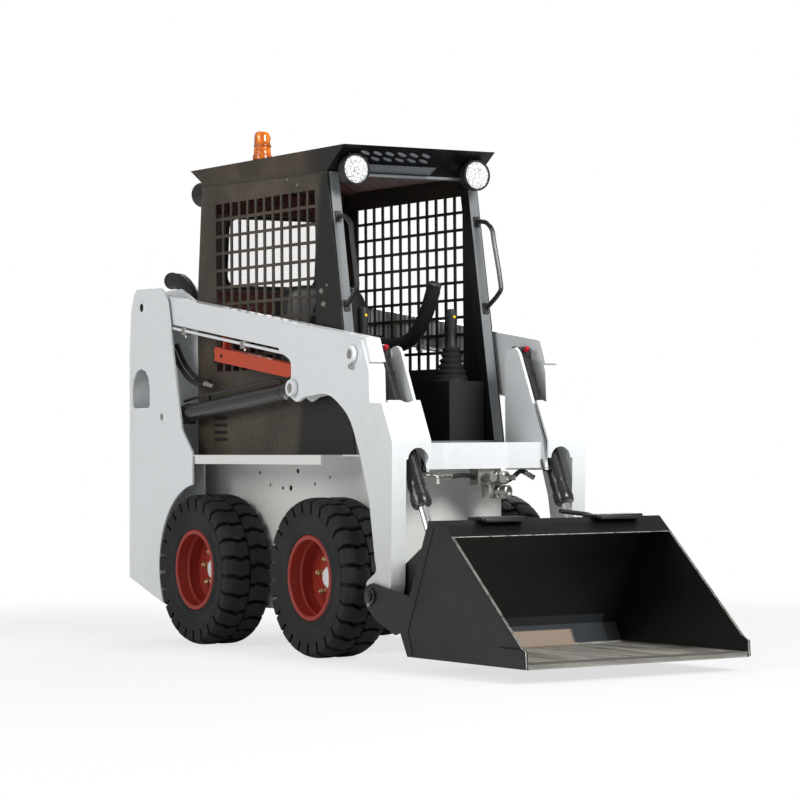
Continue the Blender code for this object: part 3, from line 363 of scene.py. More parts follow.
def repeat_tree():
    tree = bpy.data.node_groups.new("set_at_points", "GeometryNodeTree")
    sockets = {}
    for name, kind in (("Geometry", "NodeSocketGeometry"), ("Unit", "NodeSocketObject"), ("Finish", "NodeSocketMaterial")):
        sockets[name] = tree.interface.new_socket(name, in_out="INPUT", socket_type=kind).identifier
    tree.interface.new_socket("Geometry", in_out="OUTPUT", socket_type="NodeSocketGeometry")
    made = {key: tree.nodes.new(kind) for key, kind in (
        ("in", "NodeGroupInput"), ("unit", "GeometryNodeObjectInfo"), ("turn", "GeometryNodeInputNamedAttribute"),
        ("size", "GeometryNodeInputNamedAttribute"), ("euler", "FunctionNodeEulerToRotation"),
        ("set", "GeometryNodeInstanceOnPoints"), ("real", "GeometryNodeRealizeInstances"),
        ("paint", "GeometryNodeSetMaterial"), ("out", "NodeGroupOutput"))}
    for key in ("turn", "size"):
        made[key].data_type = "FLOAT_VECTOR"
        made[key].inputs["Name"].default_value = key
    for start, end in (
            ((made["in"], "Geometry"), (made["set"], "Points")), ((made["in"], "Unit"), (made["unit"], "Object")),
            ((made["unit"], "Geometry"), (made["set"], "Instance")), ((made["turn"], "Attribute"), (made["euler"], "Euler")),
            ((made["euler"], "Rotation"), (made["set"], "Rotation")), ((made["size"], "Attribute"), (made["set"], "Scale")),
            ((made["set"], "Instances"), (made["real"], "Geometry")), ((made["real"], "Geometry"), (made["paint"], "Geometry")),
            ((made["in"], "Finish"), (made["paint"], "Material")), ((made["paint"], "Geometry"), (made["out"], "Geometry"))):
        tree.links.new(start[0].outputs[start[1]], end[0].inputs[end[1]])
    return tree, sockets


REPEAT, REPEAT_SOCKETS = repeat_tree()


def repeated(name, unit_shape, places, finish, body, slot, smooth=35):
    """Places are (position, direction of the unit's +Z, turn about it in radians, size)."""
    unit = piece(name + "_unit", unit_shape, finish, None, smooth)
    points = bpy.data.meshes.new(name + "_points")
    points.from_pydata([tuple(row[0]) for row in places], [], [])
    turns = points.attributes.new("turn", "FLOAT_VECTOR", "POINT")
    sizes = points.attributes.new("size", "FLOAT_VECTOR", "POINT")
    for i, (_, way, spin, size) in enumerate(places):
        turn = Vector(way).to_track_quat("Z", "Y").to_matrix() @ Matrix.Rotation(spin, 3, "Z")
        turns.data[i].vector = turn.to_euler()
        sizes.data[i].vector = (size, size, size)
    guide = bpy.data.objects.new(name + "_guide", points)
    bpy.context.scene.collection.objects.link(guide)
    modifier = guide.modifiers.new("repeat", "NODES")
    modifier.node_group = REPEAT
    modifier[REPEAT_SOCKETS["Unit"]] = unit
    modifier[REPEAT_SOCKETS["Finish"]] = finish
    bpy.context.view_layer.update()
    mesh = bpy.data.meshes.new_from_object(guide.evaluated_get(bpy.context.evaluated_depsgraph_get()))
    made = bpy.data.objects.new(name, mesh)
    bpy.context.scene.collection.objects.link(made)
    bpy.data.objects.remove(guide, do_unlink=True)
    bpy.data.objects.remove(unit, do_unlink=True)
    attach(made, body)
    return made


def hex_bolt():
    """A hex head 2 units across its corners on a washer, standing on +Z."""
    shape = bmesh.new()
    add_lathe(shape, [(0, -0.1), (1.25, -0.1), (1.25, 0.15), (0, 0.15)], (0, 0, 0), (0, 0, 1), 20)
    add_lathe(shape, [(0, 0.1), (1.0, 0.1), (1.0, 0.85), (0.86, 0.98), (0, 0.98)], (0, 0, 0), (0, 0, 1), 6)
    return shape


CAB_BOLTS = ((0.047, 1.345, 0.0085), (0.033, 1.296, 0.0085), (0.011, 1.365, 0.0040), (0.294, 1.777, 0.0045),
             (0.221, 1.751, 0.0045))
TUB_HOLES = ((0.693, 0.669, 0.006), (0.611, 0.622, 0.0045), (0.513, 0.611, 0.006), (0.452, 0.612, 0.009),
             (0.270, 0.629, 0.005), (0.397, 0.677, 0.008), (0.160, 0.655, 0.005))
places = []
for side_name, side in SIDES:
    places += [((side * 0.330, y, z), (side, 0, 0), y * 9, r) for y, z, r in CAB_BOLTS]
    places += [((side * 0.425, y, z), (side, 0, 0), z * 5, 0.009) for y, z in ((-0.312, 1.056), (0.150, 0.955))]
    places += [((side * 0.30, -0.155 + 0.16 * z, 0.80 + z), (0, -1, 0.17), z, 0.006) for z in (0.02,)]
places += [((x, 1.417, z), (0, 1, 0), 0.4, 0.007) for x in (-0.262, 0.252) for z in (0.30, 1.11)]
repeated("frame_bolts", hex_bolt(), [p for p in places if p[0][1] > -0.2 and abs(p[0][0]) < 0.4 and p[0][1] < 1.3],
         bright.material, "chassis", "worn_steel")
repeated("arm_bolts", hex_bolt(), [p for p in places if abs(p[0][0]) > 0.4], bright.material, "lift_arms", "worn_steel")
repeated("door_bolts", hex_bolt(), [p for p in places if p[0][1] > 1.3], bright.material, "tail_door", "worn_steel")
hole = bmesh.new()
add_lathe(hole, [(0, 0.0), (0.8, 0.0), (1.0, 0.06), (1.15, 0.06), (1.2, -0.05), (0, -0.05)], (0, 0, 0), (0, 0, 1), 16)
repeated("frame_holes", hole, [((side * 0.235, y, z), (side, 0, 0), 0, r) for _, side in SIDES for y, z, r in TUB_HOLES],
         dark_hole, "chassis", "black_plastic")


# --- Cab shell --------------------------------------------------------------------------------
# Folded sheet steel in brownish black enamel with punched window guards, its inner faces darkened as painted shade;
# near-black front posts with a painted grey highlight on their forward faces; a glossy black roof whose sloping visor
# carries pressed vents, painted grey as a sheen, and a grey folded bar.

black = enamel("black_enamel", (0.005, 0.005, 0.006), (0.028, 0.027, 0.025), 0.36, 0.30, 0.1, 0.35)
brown = enamel("cab_enamel", (0.055, 0.041, 0.031), (0.105, 0.086, 0.064), 0.42, 0.55, 0.1, 0.35)


def cab_side_enamel():
    """Brown enamel that was sprayed black along the front margin, next to the post; the inner faces, looking into the
    cab, are darkened towards black as painted shade.
    """
    paint = Paint("cab_side_enamel", (0.05, 0.04, 0.03), 0.42, specular_ior_level=0.35)
    spot, x, y, z = paint.place()
    cloud, fine = paint.noise(3.0, 5.0), paint.noise(60.0, 5.0, 0.7)
    front = (y + z * 0.175).over(0.400, 0.330)
    inner = x.math("ABSOLUTE").over(0.3292, 0.3286)
    skin = paint.mix((cloud * 0.6 + fine * 0.5).over(0.42, 0.75), (0.048, 0.036, 0.027), (0.105, 0.086, 0.064))
    # Painted shade: inner faces looking into the cab are pulled three quarters of the way to black.
    skin = paint.mix(front.math("MAXIMUM", inner * 0.75), skin, (0.013, 0.013, 0.011))
    paint.set(**{"Base Color": skin, "Roughness": fine * 0.15 + 0.34})
    return paint.bump(paint.noise(240.0, 2.0) * 0.25 + cloud, 0.0005, 0.3).material


def post_enamel():
    """Near-black enamel, with a painted grey highlight on the faces that turn forward."""
    paint = Paint("post_enamel", (0.2, 0.21, 0.22), 0.30, coat_weight=0.15)
    spot, x, y, z = paint.place()
    normal = paint.node("ShaderNodeNewGeometry")[3]
    out = paint.node("ShaderNodeSeparateXYZ", None, {0: normal})
    front_highlight_share = (-out[1]).over(0.35, 0.6)
    cloud, fine = paint.noise(4.0, 5.0), paint.noise(80.0, 4.0)
    edge = paint.mix((cloud * 0.7 + fine * 0.4).over(0.40, 0.75), (0.175, 0.192, 0.205), (0.235, 0.245, 0.245))
    # Faces turned forward take the grey as a painted highlight; the rest keep the near-black enamel.
    paint.set(**{"Base Color": paint.mix(front_highlight_share, (0.008, 0.008, 0.009), edge), "Roughness": fine * 0.15 + 0.24})
    return paint.bump(paint.noise(240.0, 2.0), 0.0004, 0.3).material


satin = enamel("satin_black", (0.018, 0.018, 0.019), (0.06, 0.057, 0.05), 0.34, 0.35, 0.1)
dress(cab_side_enamel(), "cab_side")
dress(brown, "cab_back")
dress(post_enamel(), "cab_front_frame")
dress(satin, "grab_handle")


def roof_enamel():
    """Brown on the roof's sides, glossy black on the top and under the visor."""
    paint = Paint("roof_enamel", (0.03, 0.03, 0.03), 0.35, specular_ior_level=0.25)
    spot, x, y, z = paint.place()
    across = x.math("ABSOLUTE")
    side_face = across.over(0.3312, 0.3318)
    dust = paint.noise(6.0, 5.0).over(0.35, 0.75)
    skin = paint.mix(dust, (0.052, 0.039, 0.029), (0.088, 0.071, 0.051))
    skin = paint.mix(y.over(0.22, 0.02), skin, (0.022, 0.020, 0.017))
    under = paint.mix(dust * 0.4, (0.003, 0.003, 0.004), (0.012, 0.012, 0.012))
    paint.set(**{"Base Color": paint.mix(side_face, under, skin), "Roughness": dust * 0.15 + 0.30})
    return paint.bump(paint.noise(240.0, 2.0), 0.0004, 0.3).material


dress(roof_enamel(), "cab_roof")
VISOR_TOP, VISOR_LOW = Vector((0, -0.122, 1.8735)), Vector((0, 0.006, 1.785))
VISOR_DOWN = (VISOR_LOW - VISOR_TOP).normalized()
VISOR_OUT = Vector((0, VISOR_DOWN.z, -VISOR_DOWN.y))


def visor_vents():
    """Two rows of pressed vents, each a short slanted hood, coloured grey as a painted sheen on the black visor."""
    unit = bmesh.new()
    route = [Vector((-0.018 + 0.036 * k / 6, 0.006 - 0.012 * k / 6, 0)) for k in range(7)]
    add_tube(unit, route, lambda t: 0.0020 + 0.0050 * math.sin(math.pi * min(max(t, 0.04), 0.96)) ** 0.5, 10)
    places = []
    for row, down in enumerate((0.042, 0.072)):
        for k in range(6):
            spot = VISOR_TOP + VISOR_DOWN * down + Vector((-0.222 + 0.053 * k + 0.004 * row, 0, 0))
            places.append((spot, VISOR_OUT, 0.0, 1.15))
    return unit, places


grey_bar_and_vent_sheen = enamel("visor_bar_enamel", (0.085, 0.094, 0.104), (0.14, 0.14, 0.14), 0.35, 0.3)
# The vents take the bar's grey as a painted sheen; the bar itself is grey.
repeated("visor_vents", *visor_vents(), grey_bar_and_vent_sheen, "chassis", "black_paint")
shape = bmesh.new()
low, high = VISOR_LOW - VISOR_DOWN * 0.004, VISOR_LOW - VISOR_DOWN * 0.052
outer = [high + VISOR_OUT * 0.001, high + VISOR_OUT * 0.004 - Vector((0, 0.004, 0)), low + Vector((0, -0.028, 0.004)),
         low + VISOR_OUT * 0.001]
ends = [[shape.verts.new(p + Vector((x, 0, 0))) for p in outer] for x in (-0.232, 0.119)]
ends[1][2].co.x -= 0.020
shape.faces.new(ends[0]), shape.faces.new(list(reversed(ends[1])))
for k in range(4):
    shape.faces.new((ends[0][k], ends[0][(k + 1) % 4], ends[1][(k + 1) % 4], ends[1][k]))
piece("visor_bar", shape, grey_bar_and_vent_sheen, "chassis")

shape = bmesh.new()
for _, side in SIDES:
    x = side * 0.3302
    add_plate(shape, [(0.003, 1.7835), (0.976, 1.8055), (0.976, 1.8015), (0.003, 1.7795)], x, x + side * 0.0022)
    add_plate(shape, [(0.24, 1.7895), (0.252, 1.803), (0.960, 1.819), (0.975, 1.8065)], x, x + side * 0.0028)
piece("roof_seams", shape, brown, "chassis")

slot = bmesh.new()
add_tube(slot, [Vector((-0.055 + 0.11 * k / 6, 0, 0)) for k in range(7)],
         lambda t: 0.0065 if 0.05 < t < 0.95 else 0.0035, 10)
bmesh.ops.scale(slot, vec=(1, 1, 0.25), verts=slot.verts)
LOUVRES = ((0.835, (1.160, 1.132, 1.104)), (0.835, (0.884, 0.856, 0.828, 0.800)))
repeated("cab_louvres", slot, [((side * 0.3302, y, z), (side, 0, 0), 0.0, 1.0) for _, side in SIDES
                               for y, rows in LOUVRES for z in rows], dark_hole, "chassis", "black_plastic")


# --- Cab lining and glass -----------------------------------------------------------------------
# Red-brown leatherette over foam, quilted in diamonds, under the roof and on the back sheet above
# and below the window, whose clear pane sits in a black rubber seal.

def quilted():
    paint = Paint("quilted_lining", (0.10, 0.022, 0.016), 0.55, specular_ior_level=0.25)
    spot, x, y, z = paint.place()
    lean = y * 0.8 + z
    first = ((x + lean) * 52.0).math("SINE").math("ABSOLUTE")
    second = ((x - lean) * 52.0).math("SINE").math("ABSOLUTE")
    puff = first.math("MINIMUM", second)
    seam = puff.over(0.20, 0.02)
    cloud = paint.noise(12.0, 4.0)
    paint.set(**{"Base Color": paint.mix(seam, paint.mix(cloud, (0.042, 0.0085, 0.0065), (0.085, 0.018, 0.013)),
                                         (0.13, 0.055, 0.038)),
                 "Roughness": cloud * 0.2 + 0.42})
    return paint.bump(puff.math("POWER", 0.5) + paint.noise(300.0, 2.0) * 0.06, 0.006, 0.9).material


def back_y(z):
    """The cab back sheet's inner face at a height."""
    return 0.970 + 0.042 * (1.800 - max(z, 1.340)) / 0.460


def padded_panel(name, corners, thick):
    """A thin quilted pad between four corners: crowned on one side, its edges pulled in."""
    a, b, c, d = [Vector(p) for p in corners]
    out = (b - a).cross(d - a).normalized()
    steps = 24
    shape = bmesh.new()
    faces = []
    for sign in (0, 1):
        grid = []
        for i in range(steps + 1):
            u = i / steps
            row = []
            for j in range(steps + 1):
                v = j / steps
                flat = (a * (1 - u) + b * u) * (1 - v) + (d * (1 - u) + c * u) * v
                edge = min(u, 1 - u, v, 1 - v) * steps / 2
                rise = thick * min(1, edge) ** 0.5 if sign else 0
                row.append(shape.verts.new(flat + out * rise))
            grid.append(row)
        faces.append(grid)
    for grid in faces:
        for i in range(steps):
            for j in range(steps):
                shape.faces.new((grid[i][j], grid[i + 1][j], grid[i + 1][j + 1], grid[i][j + 1]))
    made = piece(name, shape, lining, "chassis", 60)
    return made


lining = quilted()
padded_panel("ceiling_lining", [(-0.315, 0.052, 1.796), (0.315, 0.052, 1.796), (0.315, 0.950, 1.802),
                                (-0.315, 0.950, 1.802)][::-1], 0.012)
padded_panel("back_lining_top", [(-0.315, back_y(1.700) - 0.002, 1.700), (0.315, back_y(1.700) - 0.002, 1.700),
                                 (0.315, back_y(1.790) - 0.002, 1.790), (-0.315, back_y(1.790) - 0.002, 1.790)], 0.010)
padded_panel("back_lining_low", [(-0.315, 1.009, 0.90), (0.315, 1.009, 0.90), (0.315, back_y(1.39) - 0.003, 1.39),
                                 (-0.315, back_y(1.39) - 0.003, 1.39)], 0.010)
seal_rubber = Paint("seal_rubber", (0.010, 0.010, 0.010), 0.6)
seal_rubber.bump(seal_rubber.noise(180.0, 3.0), 0.0004, 0.4)


def window_route(grow):
    high, low, half, corner = 1.685 + grow, 1.412 - grow, 0.208 + grow, 0.045
    route = []
    for cx, cz, start in ((half - corner, high - corner, 0), (corner - half, high - corner, 90),
                          (corner - half, low + corner, 180), (half - corner, low + corner, 270)):
        for k in range(7):
            a = math.radians(start + 15 * k)
            x, z = cx + corner * math.cos(a), cz + corner * math.sin(a)
            route.append(Vector((x, back_y(z) + 0.003, z)))
    return route


shape = bmesh.new()
for off in (-0.004, 0.004):
    add_tube(shape, [p + Vector((0, off, 0)) for p in window_route(0.002)], 0.0065, 8, closed=True)
piece("window_seal", shape, seal_rubber.material, "chassis")
glass = Paint("clear_pane", (0.90, 0.94, 0.93), 0.03, alpha=0.10, specular_ior_level=0.6)
dress(glass.material, "rear_window")


# --- Lamps and beacon ---------------------------------------------------------------------------
# Round LED work lamps: a black ribbed housing, a clear lens and small bright reflectors. The beacon
# is a moulded amber lens, ribbed low down, on a black rubber foot.

LAMP_X, LAMP_Z, LAMP_R, LAMP_FRONT = 0.266, 1.786, 0.0576, -0.095
housing = Paint("lamp_housing", (0.012, 0.012, 0.013), 0.45)
housing.bump(housing.noise(300.0, 2.0), 0.0003, 0.4)


def lamp_lens():
    paint = Paint("lamp_lens", (0.82, 0.83, 0.82), 0.12, coat_weight=0.6, coat_roughness=0.05)
    cell = paint.node("ShaderNodeTexVoronoi", {"feature": "DISTANCE_TO_EDGE"}, {"Scale": 70.0, "Vector": paint.place()[0]})[0]
    line = cell.over(0.10, 0.02)
    paint.set(**{"Base Color": paint.mix(line * 0.8, (0.84, 0.85, 0.83), (0.16, 0.165, 0.16))})
    return paint.bump(cell, 0.002, 0.8).material


lens_finish = lamp_lens()
reflector = Paint("lamp_reflector", (0.93, 0.93, 0.91), 0.18, 0.35)
reflector.set(Roughness=reflector.noise(50.0) * 0.2 + 0.1)
dress(housing.material, "work_lamp", "rear_work_lamp")
for side_name, side in SIDES:
    spot = (side * LAMP_X, LAMP_FRONT, LAMP_Z)
    shape = bmesh.new()
    add_lathe(shape, [(0.0510, -0.002), (0.0515, 0.006), (0.0535, 0.0075), (0.0575, 0.005), (0.0585, -0.001),
                      (0.0585, -0.022), (0.0560, -0.024), (0.050, -0.040)], spot, (0, -1, 0), 48)
    piece("lamp_rim_" + side_name, shape, housing.material, "chassis")
    shape = bmesh.new()
    add_lathe(shape, [(0, 0.0035), (0.020, 0.0032), (0.040, 0.0024), (0.0508, 0.0010), (0.0512, -0.003)], spot, (0, -1, 0), 48)
    piece("lamp_glass_" + side_name, shape, lens_finish, "chassis", 60)
    shape = bmesh.new()
    for x in (-0.017, 0.017):
        add_box(shape, (spot[0] + x - 0.002, -0.082, 1.832), (spot[0] + x + 0.002, -0.062, 1.8725), 0.0008)
    add_box(shape, (spot[0] - 0.019, -0.084, 1.838), (spot[0] + 0.019, -0.060, 1.842), 0.0008)
    piece("lamp_bracket_" + side_name, shape, satin, "chassis")
    cup = bmesh.new()
    add_lathe(cup, [(0, 0.0010), (0.0035, 0.0016), (0.0060, 0.0020), (0.0066, 0.0008), (0.0068, -0.001)], (0, 0, 0), (0, 0, 1), 14)
    ring = [((spot[0] + r * math.cos(a), LAMP_FRONT - 0.0025 + r * 0.02, LAMP_Z + r * math.sin(a)), (0, -1, 0), 0, 1.0)
            for r, count in ((0.0, 1), (0.018, 5), (0.038, 11)) for a in (2 * math.pi * (k + 0.5) / count for k in range(count))]
    repeated("lamp_cells_" + side_name, cup, ring, reflector.material, "chassis", "lamp_glass")

amber = Paint("amber_lens", (0.95, 0.26, 0.01), 0.10, coat_weight=0.8, coat_roughness=0.05, specular_ior_level=0.6)
z = amber.place()[3]
wave = (amber.noise(38.0, 3.0, 0.6, (1, 1, 0.6)) + z * 0.0).over(0.38, 0.62)
dark_band = z.over(1.930, 1.945) * z.over(1.960, 1.947)
amber.set(**{"Base Color": amber.mix(dark_band * 0.6, amber.mix(wave, (0.50, 0.085, 0.003), (0.90, 0.24, 0.008)), (0.22, 0.03, 0.0)),
             "Emission Color": amber.mix(wave, (0.25, 0.03, 0.0), (0.75, 0.22, 0.01))})
amber.shader.inputs["Emission Strength"].default_value = 0.10
amber.bump(((z * 900.0).math("SINE") * z.over(1.925, 1.918)), 0.0006, 0.5)
BEACON = (-0.220, 0.680, 1.8738)
shape = bmesh.new()
add_lathe(shape, [(0, 0.016), (0.038, 0.016), (0.0395, 0.020), (0.0392, 0.030), (0.0372, 0.034), (0.0350, 0.040), (0.0345, 0.058),
                  (0.0325, 0.061), (0.0325, 0.066), (0.0352, 0.0690), (0.0352, 0.0720), (0.0330, 0.075), (0.0320, 0.104),
                  (0.0300, 0.116), (0.0245, 0.124), (0.0140, 0.1275), (0, 0.128)], BEACON, (0, 0, 1), 40)
lens_piece = piece("beacon_lens", shape, amber.material, "chassis", 60)
shape = bmesh.new()
add_lathe(shape, [(0, 0), (0.040, 0), (0.0405, 0.004), (0.0390, 0.008), (0.0388, 0.0155), (0.037, 0.017), (0, 0.017)], BEACON,
          (0, 0, 1), 32)
foot_piece = piece("beacon_foot", shape, seal_rubber.material, "chassis")
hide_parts("beacon")


# --- Driver's place -----------------------------------------------------------------------------
# A black vinyl seat on a moulded box, foam-sleeved restraint bars and two drive levers, each in a
# pleated rubber boot on its console.

def moulded(name, colour, roughness, grain=260.0, depth=0.0005):
    paint = Paint(name, colour, roughness)
    cloud, fine = paint.noise(7.0, 4.0), paint.noise(grain, 3.0)
    paint.set(**{"Base Color": paint.mix(cloud, colour, [c * 1.8 + 0.002 for c in colour]),
                 "Roughness": fine * 0.25 + (roughness - 0.1)})
    return paint.bump(fine, depth, 0.6).material


plastic = moulded("moulded_black", (0.0022, 0.0025, 0.003), 0.62)
boot_rubber = moulded("boot_rubber", (0.010, 0.0105, 0.011), 0.55, 120.0)
foam = moulded("foam_sleeve", (0.006, 0.006, 0.0065), 0.75, 420.0, 0.0008)
vinyl = moulded("seat_vinyl", (0.004, 0.004, 0.0045), 0.48, 320.0, 0.0007)
dress(plastic, "seat_box")
dress(satin, "seat_bar")


def cushion(name, low, high, seams, crown, along=2):
    """A crowned closed pad: sides pulled in between its corners, with sewn channels across it."""
    low, high = Vector(low), Vector(high)
    middle, half = (low + high) / 2, (high - low) / 2
    shape = bmesh.new()
    bmesh.ops.create_cube(shape, size=2)
    bmesh.ops.subdivide_edges(shape, edges=shape.edges[:], cuts=15, use_grid_fill=True)
    for vertex in shape.verts:
        p = vertex.co.copy()
        length = max(sum(abs(v) ** 5 for v in p) ** 0.2, 1e-6)
        p = p / length
        swell = 1 + crown * (1 - max(abs(p[(along + 1) % 3]), abs(p[(along + 2) % 3])) ** 2)
        p[along] *= swell if p[along] > 0 else 1
        for seam in seams:
            gap = abs(p[(along + 2) % 3] - seam)
            if p[along] > 0.2:
                p[along] -= 0.16 * math.exp(-(gap / 0.05) ** 2)
        vertex.co = middle + Vector((p.x * half.x, p.y * half.y, p.z * half.z))
    made = piece(name, shape, vinyl, "chassis", 70)
    return made


seat_pad = cushion("seat_cushion", (-0.195, 0.150, 0.845), (0.195, 0.580, 0.955), (-0.35, 0.35), 0.25)
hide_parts("seat")
cushion("seat_backrest", (-0.195, 0.560, 0.930), (0.195, 0.660, 1.400), (-0.45, 0.0, 0.45), 0.2, 1)
shape = bmesh.new()
for _, side in SIDES:
    x = side * 0.235
    route = curve_through([(x, 0.640, 1.188), (x, 0.560, 1.172), (x, 0.430, 1.162), (x, 0.310, 1.192), (x, 0.220, 1.275),
                           (x, 0.150, 1.390)], 8)
    add_tube(shape, route, lambda t: 0.0285 * min(1, 0.55 + 9 * min(t, 1 - t)) ** 0.5, 20)
sleeves = piece("restraint_sleeves", shape, foam, "restraint_bar", 70)

for side_name, side in SIDES:
    x, y, foot = side * 0.195, -0.018, 1.0103
    profile = [(0, 0), (0.066, 0), (0.066, 0.006), (0.060, 0.010)]
    for k in range(6):
        wide = 0.060 - 0.0055 * k
        profile += [(wide, 0.012 + 0.021 * k), (wide + 0.002, 0.018 + 0.021 * k), (wide - 0.010, 0.027 + 0.021 * k)]
    profile += [(0.021, 0.142), (0.0165, 0.150), (0.0165, 0.185), (0.0185, 0.195), (0.0205, 0.240), (0.0215, 0.262),
                (0.018, 0.273), (0, 0.275)]
    shape = bmesh.new()
    add_lathe(shape, profile, (x, y, foot), (0, -0.01, 1), 32)
    lever = piece("drive_lever_" + side_name, shape, boot_rubber, "chassis", 50)
    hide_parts("joystick_" + side_name)
    shape = bmesh.new()
    add_lathe(shape, [(0, 0.006), (0.004, 0.006), (0.006, 0.004), (0.006, -0.002)], (x, y - 0.021, foot + 0.243), (0, -1, 0.2), 16)
    piece("lever_button_" + side_name, shape, Paint("button_yellow", (0.85, 0.62, 0.02), 0.3).material, "chassis")


# --- Wheels ---------------------------------------------------------------------------------------
# Solid block tyres pressed on red dished steel wheels: a stepped sidewall, two staggered rows of
# deep lugs with stepped grooves between them, six brass-plated wheel nuts and a white hub cap.

AXLE_Y = (("front", -0.039), ("rear", 0.8474))
AXLE_Z, TYRE_R, WHEEL_X = 0.2925, 0.2925, 0.356
LUGS, GROOVE, BLOCK_BASE = 25, 0.0165, 0.258
DISC_FACE = -0.004                # the disc's outer face, from the tyre's middle plane
CARCASS = [(0.1582, 0.0838), (0.1595, 0.0890), (0.1640, 0.0915), (0.1740, 0.0930), (0.1775, 0.0900), (0.1800, 0.0892),
           (0.2040, 0.0925), (0.2240, 0.0952), (0.2340, 0.0965), (0.2370, 0.0955), (0.2390, 0.0900), (0.2540, 0.0870),
           (0.2630, 0.0780), (0.2665, 0.0560), (0.2670, 0.0)]


def tyre_rubber():
    paint = Paint("block_tyre_rubber", (0.016, 0.017, 0.018), 0.75, specular_ior_level=0.35)
    cloud, fine = paint.noise(5.0, 5.0), paint.noise(90.0, 5.0, 0.7)
    x = paint.place()[1].math("ABSOLUTE")
    wall = x.over(0.440, 0.452)
    dust = (cloud * 0.7 + fine * 0.5).over(0.45, 0.85)
    tread = paint.mix(dust, (0.0075, 0.0095, 0.011), (0.026, 0.029, 0.031))
    side_wall = paint.mix(dust, (0.0065, 0.0062, 0.0058), (0.024, 0.021, 0.018))
    paint.set(**{"Base Color": paint.mix(wall, tread, side_wall), "Roughness": fine * 0.3 + 0.52})
    return paint.bump(fine + paint.noise(14.0, 3.0) * 0.8, 0.0012, 0.55).material


def crown_radius(x):
    """The tread's outer radius at a distance from the tyre's middle plane."""
    over = max(0.0, abs(x) - 0.050) / 0.0485
    return TYRE_R - 0.016 * over ** 2.6


def lug(hand):
    """One block from the shoulder to the centre groove, made at the wheel's top and centred on its axle."""
    stations = [(0.0985, -0.0305), (0.0940, -0.0305), (0.0800, -0.0305), (0.0640, -0.0305), (0.0540, -0.0235),
                (0.0300, -0.0205), (0.0200, -0.0280), (0.0030, -0.0280)]
    width = 2 * math.pi * TYRE_R / LUGS - GROOVE
    shape = bmesh.new()
    tops, bottoms = [], []
    for i, (x, start) in enumerate(stations):
        high = crown_radius(x) - (0.003 if i in (0, len(stations) - 1) else 0)
        foot = 0.237 if i == 0 else BLOCK_BASE
        row_top, row_bottom = [], []
        for k, share in enumerate((0, 0.035, 0.5, 0.965, 1)):
            angle = (start + width * share) / TYRE_R * hand
            top = high - (0.0022 if k in (0, 4) else 0)
            draft = 0.0012 * (1 if k == 0 else -1 if k == 4 else 0)
            row_top.append(shape.verts.new((hand * x, top * math.sin(angle), top * math.cos(angle))))
            low_angle = angle - draft / TYRE_R * hand
            row_bottom.append(shape.verts.new((hand * (x - (0.0035 if i == 0 else 0)), foot * math.sin(low_angle),
                                               foot * math.cos(low_angle))))
        tops.append(row_top)
        bottoms.append(row_bottom)
    for rows in (tops, bottoms):
        for a, b in zip(rows, rows[1:]):
            for k in range(4):
                shape.faces.new((a[k], a[k + 1], b[k + 1], b[k]))
    for k in (0, 4):
        for i in range(len(stations) - 1):
            shape.faces.new((tops[i][k], tops[i + 1][k], bottoms[i + 1][k], bottoms[i][k]))
    for i in (0, len(stations) - 1):
        for k in range(4):
            shape.faces.new((tops[i][k], tops[i][k + 1], bottoms[i][k + 1], bottoms[i][k]))
    return shape


rubber = tyre_rubber()
rim_red = enamel("rim_enamel", (0.30, 0.026, 0.016), (0.20, 0.075, 0.045), 0.45, 0.45, 0.1, 0.4)
dress(rim_red, "front_rim", "rear_rim")
brass = Paint("brass_plated", (0.62, 0.50, 0.28), 0.35, 1.0)
brass.set(Roughness=brass.noise(80.0) * 0.35 + 0.2)


def wheel_nut():
    shape = bmesh.new()
    add_lathe(shape, [(0, 0), (1.05, 0), (1.10, 0.25), (1.0, 0.35), (1.0, 1.30), (0.86, 1.45), (0.62, 1.45)], (0, 0, 0), (0, 0, 1), 6)
    add_lathe(shape, [(0.66, 1.40), (0.60, 1.45), (0.56, 1.85), (0.44, 1.95), (0, 1.95)], (0, 0, 0), (0, 0, 1), 12)
    return shape


